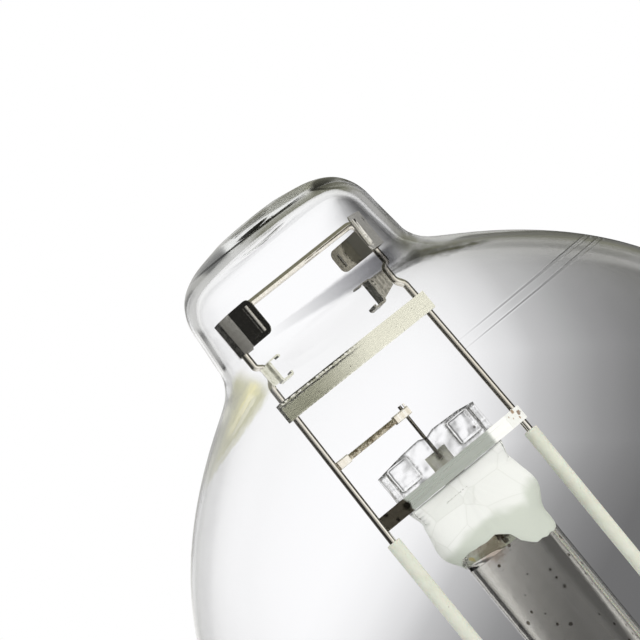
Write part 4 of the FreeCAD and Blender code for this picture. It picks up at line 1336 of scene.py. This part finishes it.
@dataclass
class ArcTube:
    """The quartz arc tube in its straps, with coats, electrodes, foils, leads and its load of salts."""

    light_centre: float = 241.0
    turn: float = -10.0
    coat_top: float = 63.1
    coat_skin: float = 0.16
    coat_back: float = 0.04
    coat_edge: tuple[FlatPoint, ...] = (
        (-180.0, 43.5), (-135.0, 44.0), (-90.0, 42.2), (-60.0, 45.2), (-46.0, 45.6), (-5.0, 45.1), (8.0, 43.0),
        (14.0, 39.6), (25.0, 36.9), (60.0, 36.0), (90.0, 38.0), (135.0, 42.0), (180.0, 43.5),
    )
    coat_columns: int = 256
    coat_rows: int = 36
    coat_window: int = 5
    cast_from: float = 50.0
    pinch_ratio: float = 0.28
    quartz: QuartzFinish = QuartzFinish(
        "arc_quartz", index=1.458, gloss=0.35, mirror=0.5, tint=(0.86, 0.86, 0.84), density=2.0,
        rim_shade=(0.02, 0.02, 0.018), rim_start=0.42, rim_strength=0.95, ripple=0.5, ripple_scale=260.0,
        patches=(
            Patch((-8.1, -9.9, 284.6), 5.6, (0.50, 0.40, 0.33), 0.75, 0.25),
            Patch((-3.4, -12.2, 286.0), 3.2, (0.36, 0.27, 0.20), 0.7, 0.5),
            Patch((-11.9, -4.6, 285.0), 1.1, (0.75, 0.52, 0.10), 0.9, 0.5),
            Patch((-1.2, -12.7, 286.2), 0.5, (0.70, 0.42, 0.05), 1.0, 0.2),
            Patch((-6.6, -10.9, 285.9), 0.55, (0.85, 0.45, 0.42), 0.8, 0.1),
            Patch((-4.2, -12.0, 284.4), 0.35, (0.22, 0.06, 0.03), 1.0, 0.2),
        ),
    )
    coat: CoatFinish = CoatFinish("end_coat_white")
    tungsten: MetalFinish = MetalFinish(
        "tungsten_burnt", (0.34, 0.33, 0.31), (0.16, 0.15, 0.14), roughness=0.42, wear=0.0,
    )
    foil: MetalFinish = MetalFinish(
        "sealing_foil_grey", (0.64, 0.64, 0.53), (0.56, 0.56, 0.46), roughness=0.5,
        stretch=(300.0, 300.0, 900.0), wear=0.0, metallic=0.6,
    )
    lead: MetalFinish = MetalFinish(
        "molybdenum_lead", (0.42, 0.39, 0.34), (0.13, 0.12, 0.10), roughness=0.3, wear=0.2,
    )

    def edge_at(self, angle: float) -> float:
        """Return how high above the light centre the coat's lower edge is at an angle about the axis.

        Args:
            angle: the angle about the axis in radians.

        Returns:
            How high above the light centre the coat's lower edge is at an angle about the axis.
        """
        _, right, _ = Studio().directions()
        front = math.degrees(math.atan2(right.y, right.x)) - 90.0
        turn = (math.degrees(angle) - front + 180.0) % 360.0 - 180.0
        degrees, heights = zip(*self.coat_edge)
        fine = noise.noise(Vector((math.cos(angle) * 6.0, math.sin(angle) * 6.0, 1.2)))
        return float(np.interp(turn, degrees, heights)) + fine * 0.5

    def make_coat(self, name: str, upward: int, node: str) -> None:
        """Lay one end's coat on the quartz.

        Args:
            name: the piece's name.
            upward: 1 for the crown's end and -1 for the base's.
            node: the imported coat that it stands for.
        """
        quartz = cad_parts["arc_tube"]
        tree = BVHTree.FromPolygons(
            [vertex.co.copy() for vertex in quartz.data.vertices],
            [tuple(polygon.vertices) for polygon in quartz.data.polygons],
        )
        columns, rows = self.coat_columns, self.coat_rows
        middle = math.radians(self.turn)
        reach = np.zeros((rows, columns))
        places = {}
        for row in range(rows):
            for column in range(columns):
                share = math.tau * column / columns
                angle = middle + math.atan2(self.pinch_ratio * math.sin(share), math.cos(share))
                low = self.edge_at(angle)
                height = low + (self.coat_top - low) * row / (rows - 1)
                level = self.light_centre + upward * height
                outward = Vector((math.cos(angle), math.sin(angle), 0.0))
                start = outward * (self.cast_from * MM) + Vector((0.0, 0.0, level * MM))
                hit, _, _, _ = tree.ray_cast(start, -outward)
                reach[row, column] = math.hypot(hit.x, hit.y) / MM
                places[row, column] = (outward, level)
        window, margin = range(self.coat_window), self.coat_window // 2
        smooth = np.pad(reach, ((margin, margin), (0, 0)), mode="edge")
        smooth = np.pad(smooth, ((0, 0), (margin, margin)), mode="wrap")
        smooth = sum(
            smooth[down:down + rows, over:over + columns] for down in window for over in window
        ) / self.coat_window ** 2
        sheets = []
        for skin in (self.coat_skin, self.coat_back):
            sheet = []
            for row in range(rows):
                taper = 1.0 if skin == self.coat_back else min(row / 2, 1.0) * min((rows - 1 - row) / 2, 1.0)
                lift = self.coat_back + (skin - self.coat_back) * taper
                for column in range(columns):
                    outward, level = places[row, column]
                    along = max(reach[row, column], smooth[row, column]) + lift
                    sheet.append(tuple(outward * along + Vector((0.0, 0.0, level))))
            sheets.append(sheet)
        corners = sheets[0]
        for row in reversed(range(rows)):
            corners += sheets[1][row * columns:(row + 1) * columns]
        faces = Mesher.grid_faces(2 * rows, columns, True)
        if upward < 0:
            faces = [face[::-1] for face in faces]
        coat = Mesher.from_faces(name, corners, faces)
        bench.place(coat, self.coat, "end_coat", node)

    def build(self) -> None:
        """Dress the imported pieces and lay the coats."""
        bench.dress(self.quartz, "arc_tube")
        for end in ("dome", "base"):
            bench.dress(self.tungsten, "electrode_" + end, "coil_" + end)
            bench.dress(self.foil, "foil_" + end)
            bench.dress(self.lead, "lead_" + end)
        self.make_coat("white_coat_dome", 1, "coat_dome")
        self.make_coat("white_coat_base", -1, "coat_base")


@dataclass
class WireFrame:
    """The bent wire frame with its crown springs, cross strap and getters."""

    wire: MetalFinish = MetalFinish(
        "frame_wire_nickel", (0.95, 0.92, 0.85), (0.78, 0.73, 0.63), roughness=0.07, uneven=0.05,
        stretch=(2500.0, 2500.0, 70.0), bump=0.05, wear=0.0,
        patches=(
            Patch((-20.4, -1.0, 343.6), 1.5, (0.05, 0.04, 0.03), 0.9, 1.2),
            Patch((-20.2, -1.0, 341.2), 0.8, (0.35, 0.20, 0.10), 0.8, 0.9),
            Patch((-20.4, -0.8, 303.0), 1.1, (0.05, 0.04, 0.03), 0.9, 1.2),
            Patch((20.6, -1.0, 306.4), 0.9, (0.32, 0.18, 0.09), 0.8, 0.9),
        ),
    )
    spring: MetalFinish = MetalFinish(
        "spring_steel_satin", (0.60, 0.585, 0.54), (0.53, 0.515, 0.47), roughness=0.13, uneven=0.05,
        stretch=(60.0, 60.0, 1800.0), bump=0.03, wear=0.8, specks=0.08,
        patches=(
            Patch((21.6, -12.0, 371.6), 1.0, (0.06, 0.055, 0.04), 0.9, 0.4),
            # Painted highlight: a pale, matt band along the pressed groove of the right spring's front arm,
            # over the next three lines.
            Patch((15.9, -20.5, 366.0), 2.7, (0.86, 0.84, 0.76), 0.95, 0.1, 0.5, 0.9),
            Patch((15.9, -20.5, 368.2), 2.7, (0.86, 0.84, 0.76), 0.95, 0.1, 0.5, 0.9),
            Patch((15.9, -20.5, 370.4), 2.4, (0.86, 0.84, 0.76), 0.95, 0.1, 0.5, 0.9),
            Patch((17.6, -17.6, 368.6), 0.5, (0.10, 0.09, 0.07), 0.8, 0.8),
            # Painted shade: a wide darker patch over the right spring's back arm.
            Patch((23.7, 8.6, 367.2), 7.8, (0.22, 0.21, 0.165), 0.75, 0.05, 0.14),
        ),
    )
    strap: MetalFinish = MetalFinish(
        "strap_nickel_brushed", (0.40, 0.40, 0.31), (0.25, 0.255, 0.19), roughness=0.26, uneven=0.14,
        stretch=(45.0, 45.0, 1900.0), wear=0.9, bump=0.10, specks=0.2,
        # Painted highlight: the strap turns pale yellow and less metallic from left of the axis to its right
        # end.
        highlight_span=(-20.0, 8.0), highlight_colour=(1.0, 0.985, 0.84), highlight_matt=0.5,
        lip=Lip(348.0, 342.4),
    )
    getter: MetalFinish = MetalFinish(
        "getter_channel_dark", (0.46, 0.44, 0.39), (0.20, 0.19, 0.16), roughness=0.2,
        stretch=(1500.0, 600.0, 1500.0), bump=0.06, wear=1.0, specks=0.25,
    )
    # Painted highlight: the left getter takes a pale, lit copy of the getter's metal with near-white edges; the
    # right one keeps the darker metal.
    lit_getter: MetalFinish = MetalFinish(
        "getter_channel_lit", (0.90, 0.90, 0.80), (0.60, 0.60, 0.48), roughness=0.16,
        stretch=(1500.0, 600.0, 1500.0), bump=0.08, wear=1.0, wear_colour=(1.0, 0.99, 0.90),
    )

    def build(self) -> None:
        """Dress the frame's pieces."""
        bench.dress(self.wire, "frame_loop")
        bench.dress(self.strap, "cross_strap")
        for side in Side:
            word = side.name.lower()
            bench.dress(self.spring, "crown_spring_" + word)
            channel = self.lit_getter if side is Side.LEFT else self.getter
            bench.dress(channel, "getter_" + word, "getter_strip_" + word)


@dataclass
class PinchStraps:
    """The straps that hold the pinch seals to the frame."""

    metal: MetalFinish = MetalFinish(
        "clamp_nickel_satin", (0.70, 0.745, 0.69), (0.60, 0.64, 0.585), roughness=0.30, uneven=0.08,
        stretch=(45.0, 60.0, 1700.0), bump=0.03, wear=0.6, specks=0.10,
        # Painted highlight: the straps' right ends turn near white and matt.
        highlight_span=(12.4, 13.8), highlight_colour=(1.0, 0.99, 0.94), highlight_matt=0.85,
        patches=(
            Patch((-20.0, 0.0, 306.4), 6.0, (0.115, 0.10, 0.075), 0.97, 0.05, 0.10),
            Patch((-15.2, -0.4, 306.4), 1.5, (0.02, 0.016, 0.012), 0.85, 0.25, 0.5),
            Patch((-19.4, 0.6, 305.4), 0.8, (0.02, 0.016, 0.012), 0.8, 0.6),
            Patch((-21.2, 0.9, 308.0), 0.9, (0.03, 0.024, 0.018), 0.8, 0.6),
            Patch((22.6, -3.4, 307.9), 0.8, (0.30, 0.17, 0.07), 0.85, 0.7, 0.3),
            Patch((24.4, -2.0, 306.9), 0.9, (0.20, 0.11, 0.05), 0.85, 0.7, 0.3),
            Patch((23.6, -2.6, 305.6), 0.45, (0.30, 0.16, 0.06), 0.8, 0.7, 0.3),
            Patch((21.4, -4.4, 306.4), 0.35, (0.40, 0.24, 0.10), 0.8, 0.7, 0.3),
            Patch((20.2, -5.3, 307.4), 0.3, (0.34, 0.22, 0.12), 0.8, 0.7, 0.3),
        ),
    )

    def build(self) -> None:
        """Dress the four straps."""
        for end in ("dome", "base"):
            bench.dress(self.metal, f"clamp_{end}_front", f"clamp_{end}_back")


@dataclass
class BraidedLead:
    """The flexible braid from the frame wire to the arc tube's lead, with its crimps."""

    carriers: int = 8
    radius: float = 0.66
    wire: float = 0.165
    weave: float = 0.10
    pitch: float = 5.0
    steps: int = 110
    wire_sides: int = 6
    end_zone: float = 1.2
    metal: MetalFinish = MetalFinish(
        "braid_wire_tarnished", (0.98, 0.92, 0.76), (0.34, 0.28, 0.18), roughness=0.16,
        stretch=(900.0, 900.0, 900.0), wear=0.0,
    )
    crimp: MetalFinish = MetalFinish(
        "crimp_steel_warm", (1.0, 0.97, 0.90), (0.78, 0.72, 0.60), roughness=0.2,
        wear=0.9, specks=0.15, metallic=0.75,
    )

    def build(self) -> None:
        """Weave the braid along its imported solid, and dress the crimps."""
        low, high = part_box("braided_lead")
        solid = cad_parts["braided_lead"].data.vertices
        ends = []
        for edge in (low.x, high.x):
            near = [vertex.co for vertex in solid if abs(vertex.co.x - edge) < self.end_zone * MM]
            ends.append(sum(near, Vector()) / len(near))
        start = Vector((low.x, ends[0].y, ends[0].z)) / MM
        finish = Vector((high.x, ends[1].y, ends[1].z)) / MM
        along = (finish - start).normalized()
        length = (finish - start).length
        side = along.cross(Vector((0.0, 0.0, 1.0))).normalized()
        up = side.cross(along)
        corners, faces = [], []
        for hand in (1, -1):
            for carrier in range(self.carriers):
                path = []
                for step in range(self.steps + 1):
                    run = length * step / self.steps
                    turn = hand * math.tau * run / self.pitch
                    angle = math.tau * carrier / self.carriers + turn
                    crossing = self.carriers * 2 * run / self.pitch + carrier
                    reach = self.radius + hand * self.weave * math.cos(math.pi * crossing)
                    path.append(start + along * run + (side * math.cos(angle) + up * math.sin(angle)) * reach)
                new_corners, new_faces = Mesher.tube(path, self.wire, self.wire_sides, len(corners))
                corners += new_corners
                faces += new_faces
        braid = Mesher.from_faces("woven_lead", corners, faces)
        bench.place(braid, self.metal, "braid_wire", "braided_lead")
        bench.dress(self.crimp, "braid_crimp_frame", "braid_crimp_lead")


@dataclass
class StemMount:
    """The glass stem, exhaust tube, lead-in wires, their strap and the ceramic sleeves."""

    glass: GlassFinish = GlassFinish("stem_glass_clear", tint=(0.70, 0.76, 0.70), density=6.0)
    sleeve: CeramicFinish = CeramicFinish(
        "sleeve_ceramic_pale", (0.61, 0.625, 0.53), (0.57, 0.585, 0.49), specks=0.03,
    )
    wire: MetalFinish = MetalFinish(
        "lead_in_nickel_drawn", (0.74, 0.71, 0.65), (0.52, 0.49, 0.43), roughness=0.25, wear=0.0,
    )
    strap: MetalFinish = MetalFinish(
        "stem_strap_nickel", (0.66, 0.65, 0.58), (0.46, 0.45, 0.40), roughness=0.32, wear=0.6,
    )

    def build(self) -> None:
        """Dress the mount."""
        bench.dress(self.glass, "stem", "exhaust_tube")
        bench.dress(self.sleeve, "sleeve_left", "sleeve_right")
        bench.dress(self.wire, "lead_in_frame", "lead_in_arc")
        bench.dress(self.strap, "stem_strap_front", "stem_strap_back")


@dataclass
class ScrewBase:
    """The large screw base."""

    shell: MetalFinish = MetalFinish(
        "shell_brass_plated", (0.72, 0.69, 0.62), (0.54, 0.51, 0.45), roughness=0.3, uneven=0.2,
        stretch=(160.0, 160.0, 900.0), wear=0.8, wear_colour=(0.80, 0.66, 0.40), specks=0.08,
    )
    insulator: CeramicFinish = CeramicFinish(
        "insulator_dark_glass", (0.030, 0.026, 0.034), (0.018, 0.016, 0.022), roughness=0.12,
        glow=0.0, specks=0.02,
    )
    contact: MetalFinish = MetalFinish(
        "contact_brass_turned", (0.76, 0.62, 0.36), (0.56, 0.44, 0.24), roughness=0.28,
        stretch=(900.0, 900.0, 900.0), wear=0.5,
    )
    solder: MetalFinish = MetalFinish(
        "solder_dull", (0.58, 0.58, 0.57), (0.40, 0.40, 0.39), roughness=0.42,
        stretch=(500.0, 500.0, 500.0), wear=0.0,
    )
    cement: CeramicFinish = CeramicFinish(
        "base_cement_buff", (0.56, 0.47, 0.35), (0.44, 0.36, 0.26), roughness=0.85, glow=0.0, specks=0.08,
    )

    def build(self) -> None:
        """Dress the base."""
        bench.dress(self.shell, "screw_shell")
        bench.dress(self.insulator, "base_insulator")
        bench.dress(self.contact, "centre_contact")
        bench.dress(self.solder, "contact_solder")
        bench.dress(self.cement, "base_cement")


@dataclass
class Studio:
    """The camera at the photograph's angle, the pale floor, the backdrop, the world and the lamps.

    Lengths are in millimetres and angles in degrees. Each of the cards is an angle round from the camera's side
    and the grey that metal mirrors there. Each step of the fall is a place across the backdrop and its grey.
    """

    azimuth: float = 18.10
    elevation: float = 1.20
    roll: float = 39.27
    distance: float = 1444.3
    aim_side: float = -1.307
    aim_height: float = 358.19
    pixels_per_mm: float = 3.8237
    picture: int = 640
    sensor: float = 36.0
    cards: tuple[FlatPoint, ...] = (
        (-180.0, 1.0), (-156.0, 0.95), (-151.0, 0.015), (-137.0, 0.015), (-130.0, 0.25), (-115.0, 0.25),
        (-105.0, 0.03), (-28.0, 0.03), (-14.0, 0.36), (14.0, 0.52), (22.0, 1.0), (60.0, 1.0), (72.0, 0.05),
        (134.0, 0.04), (142.0, 0.42), (155.0, 0.42), (160.0, 0.075), (177.0, 0.10), (179.5, 0.6), (180.0, 1.0),
    )
    overhead: Colour = (0.21, 0.21, 0.165)
    fall: tuple[FlatPoint, ...] = (
        (25.0, 1.0), (36.0, 0.97), (50.0, 0.89), (65.0, 0.72), (75.0, 0.54), (85.0, 0.45), (92.0, 0.38),
        (101.0, 0.30), (115.0, 0.22), (130.0, 0.16), (175.0, 0.14),
    )

    card_half: float = 240.0
    card_behind: float = 550.0
    fall_span: float = 200.0
    floor_radius: float = 9000.0
    floor_rings: int = 12
    floor_columns: int = 64
    floor_drop: float = 0.2

    def directions(self) -> tuple[Vector, Vector, Vector]:
        """Return the view's direction and the level right and up of the lamp as the camera sees it.

        Returns:
            The view's direction and the level right and up of the lamp as the camera sees it.
        """
        turn, lift = math.radians(self.azimuth), math.radians(self.elevation)
        view = Vector((math.sin(turn) * math.cos(lift), math.cos(turn) * math.cos(lift), math.sin(lift)))
        right = Vector((math.cos(turn), -math.sin(turn), 0.0))
        return view, right, right.cross(view)

    def picture_axes(self) -> tuple[Vector, Vector, Vector]:
        """Return the picture's right and up and the direction out of it.

        Returns:
            The picture's right and up and the direction out of it.
        """
        view, right, up = self.directions()
        roll = math.radians(self.roll)
        across = right * math.cos(roll) - up * math.sin(roll)
        upward = right * math.sin(roll) + up * math.cos(roll)
        return across, upward, -view

    def aim(self) -> Vector:
        """Return the point that the camera looks at, in metres."""
        _, right, _ = self.directions()
        return (right * self.aim_side + Vector((0.0, 0.0, self.aim_height))) * MM

    def matrix(self, place: Vector) -> Matrix:
        """Return a placing whose axes are the picture's.

        Args:
            place: where it puts the origin, in metres.

        Returns:
            A placing whose axes are the picture's.
        """
        across, upward, out = self.picture_axes()
        turned = Matrix((across, upward, out)).transposed()
        return Matrix.Translation(place) @ turned.to_4x4()

    def camera(self) -> None:
        """Make the camera."""
        view, _, _ = self.directions()
        data = bpy.data.cameras.new("photo_camera")
        data.sensor_width = self.sensor
        data.lens = self.pixels_per_mm * self.distance * self.sensor / self.picture
        data.clip_end = 100.0
        camera = bpy.data.objects.new("photo_camera", data)
        bpy.context.scene.collection.objects.link(camera)
        camera.matrix_world = self.matrix(self.aim() - view * self.distance * MM)
        bpy.context.scene.camera = camera

    def world(self) -> None:
        """Make the surroundings: white to the eye and through glass, and flags and a bright card to metal."""
        world = bpy.data.worlds.new("studio_world")
        bpy.context.scene.world = world
        world.use_nodes = True
        world.cycles.sampling_method = "NONE"
        graph = Graph(world.node_tree)
        view, right, _ = self.directions()
        toward = graph.add("TexCoord").outputs["Generated"]
        to_right = graph.dot(toward, tuple(right))
        to_front = graph.dot(toward, tuple(-view))
        to_top = graph.axis("Z", toward)
        round_it = graph.math("ARCTAN2", to_right, to_front)
        share = graph.plus(graph.times(round_it, 0.5 / math.pi), 0.5)
        cards = graph.ramp(share, [
            (degrees / 360.0 + 0.5, (tone, tone * 0.99, tone * 0.965)) for degrees, tone in self.cards
        ])
        behind = graph.remap(graph.math("ABSOLUTE", round_it), 2.5, 2.9, 0.0, 0.2)
        raised = graph.remap(graph.plus(to_top, behind), 0.22, 0.40)
        shiny = graph.mix(raised, cards, self.overhead)
        upper_left = graph.times(graph.remap(to_right, 0.04, -0.10), graph.remap(to_front, -0.30, -0.55))
        upper_left = graph.times(upper_left, graph.remap(to_top, 0.07, 0.16))
        shiny = graph.mix(upper_left, shiny, (0.60, 0.60, 0.59))
        path = graph.add("LightPath").outputs
        reflected = graph.math("MINIMUM", path["Glossy Depth"], 1.0)
        colour = graph.mix(reflected, PURE_WHITE, shiny)
        colour = graph.mix(path["Is Diffuse Ray"], colour, (0.80, 0.80, 0.82))
        background = graph.add("Background", {"Color": colour, "Strength": 1.0})
        graph.add("OutputWorld", {"Surface": background.outputs[0]})

    def backdrop(self) -> None:
        """Make the card behind the bulb, shaded towards one side, that only the glass shows."""
        view, _, _ = self.directions()
        half = self.card_half
        corners = [(-half, -half, 0.0), (half, -half, 0.0), (half, half, 0.0), (-half, half, 0.0)]
        card = Mesher.from_faces("backdrop_card", corners, [(0, 1, 2, 3)], smooth=False)
        card.matrix_world = self.matrix(self.aim() + view * (self.card_behind * MM))
        for flag in ("visible_camera", "visible_diffuse", "visible_shadow", "visible_glossy"):
            setattr(card, flag, False)
        material, graph = Graph.of_material("backdrop_shaded")
        place = graph.add("SeparateXYZ", {0: graph.position()}).outputs
        below = graph.times(graph.math("MAXIMUM", graph.minus(-0.040, place["Y"]), 0.0), 0.53)
        above = graph.times(graph.math("MAXIMUM", place["Y"], 0.0), 0.45)
        slant = graph.plus(place["X"], graph.plus(below, above))
        shade = graph.ramp(graph.math("DIVIDE", slant, self.fall_span * MM), [
            (reach / self.fall_span, (tone * 0.985, tone * 0.985, tone)) for reach, tone in self.fall
        ])
        emission = graph.add("Emission", {"Color": shade, "Strength": 1.0})
        clear = graph.add("BsdfTransparent")
        reach = graph.vector("LENGTH", graph.position()).outputs["Value"]
        edge = graph.remap(reach, 0.18, 0.235)
        gone = graph.math("MAXIMUM", edge, graph.add("NewGeometry").outputs["Backfacing"])
        mixed = graph.blend(gone, emission, clear)
        graph.surface(mixed.outputs[0])
        card.data.materials.append(material)

    def floor(self) -> None:
        """Make the pale floor that the lamp stands on, fading into the white surroundings."""
        rings, columns = self.floor_rings, self.floor_columns
        corners = []
        for ring in range(1, rings + 1):
            reach = self.floor_radius * (ring / rings) ** 2.4
            for column in range(columns):
                angle = math.tau * column / columns
                corners.append((reach * math.cos(angle), reach * math.sin(angle), 0.0))
        faces = Mesher.grid_faces(rings, columns, False)
        faces.append(tuple(range(columns)))
        floor = Mesher.from_faces("studio_floor", corners, faces, smooth=False)
        floor.location.z = -self.floor_drop * MM
        material, graph = Graph.of_material("floor_pale")
        place = graph.position()
        mottle = graph.remap(graph.noise(place, 4.0, 3.0), 0.2, 0.8, 0.80, 0.83)
        tone = graph.add("CombineColor", {0: mottle, 1: mottle, 2: mottle}).outputs[0]
        paper = graph.add("BsdfPrincipled", {"Base Color": tone, "Roughness": 0.9, "Specular IOR Level": 0.1})
        white = graph.add("Emission", {"Color": PURE_WHITE, "Strength": 1.0})
        reach = graph.vector("LENGTH", place).outputs["Value"]
        path = graph.add("LightPath").outputs
        far = graph.remap(reach, 0.35, 1.1)
        seen = graph.math("MAXIMUM", path["Is Camera Ray"], path["Is Glossy Ray"])
        seen = graph.math("MAXIMUM", seen, path["Is Transmission Ray"])
        mixed = graph.blend(graph.times(far, seen), paper, white)
        open_air = graph.add("BsdfTransparent")
        mirrored = graph.times(far, graph.math("MINIMUM", path["Glossy Depth"], 1.0))
        mixed = graph.blend(mirrored, mixed, open_air)
        graph.surface(mixed.outputs[0])
        floor.data.materials.append(material)

    def softbox(
        self, name: str, toward: Vector, reach: float, size: float, power: float, colour: Colour,
    ) -> None:
        """Hang a soft lamp.

        Args:
            name: its name.
            toward: the direction from the bulb to it.
            reach: its distance in metres.
            size: its side in metres.
            power: its power in watts.
            colour: its colour.
        """
        data = bpy.data.lights.new(name, "AREA")
        data.shape = "SQUARE"
        data.size = size
        data.energy = power
        data.color = colour
        lamp = bpy.data.objects.new(name, data)
        bpy.context.scene.collection.objects.link(lamp)
        lamp.location = self.aim() + toward.normalized() * reach
        lamp.visible_glossy = False
        lamp.visible_transmission = False
        lamp.rotation_mode = "QUATERNION"
        lamp.rotation_quaternion = toward.to_track_quat("Z", "Y")

    def build(self) -> None:
        """Set up the whole studio."""
        scene = bpy.context.scene
        scene.view_settings.view_transform = "Standard"
        for limit in ("max_bounces", "transmission_bounces", "glossy_bounces", "transparent_max_bounces"):
            setattr(scene.cycles, limit, LIGHT_BOUNCES)
        self.camera()
        self.world()
        self.backdrop()
        self.floor()
        view, right, _ = self.directions()
        top = Vector((0.0, 0.0, 1.0))
        key = right * 0.75 - view * 0.75 + top * 0.55
        fill = right * -0.9 - view * 0.5 + top * 0.35
        self.softbox("key_softbox", key, 1.5, 0.9, 14.0, (1.0, 0.985, 0.955))
        self.softbox("fill_softbox", fill, 1.7, 1.2, 7.0, (0.96, 0.98, 1.0))


def main() -> None:
    """Build the lamp's looks in order."""
    logging.basicConfig(level=logging.INFO, format="%(name)s: %(message)s")
    Studio().build()
    for part in (GlassBulb(), WireFrame(), PinchStraps(), BraidedLead(), StemMount(), ArcTube(), ScrewBase()):
        LOG.info("building %s", type(part).__name__)
        part.build()


if __name__ == "__main__":
    main()
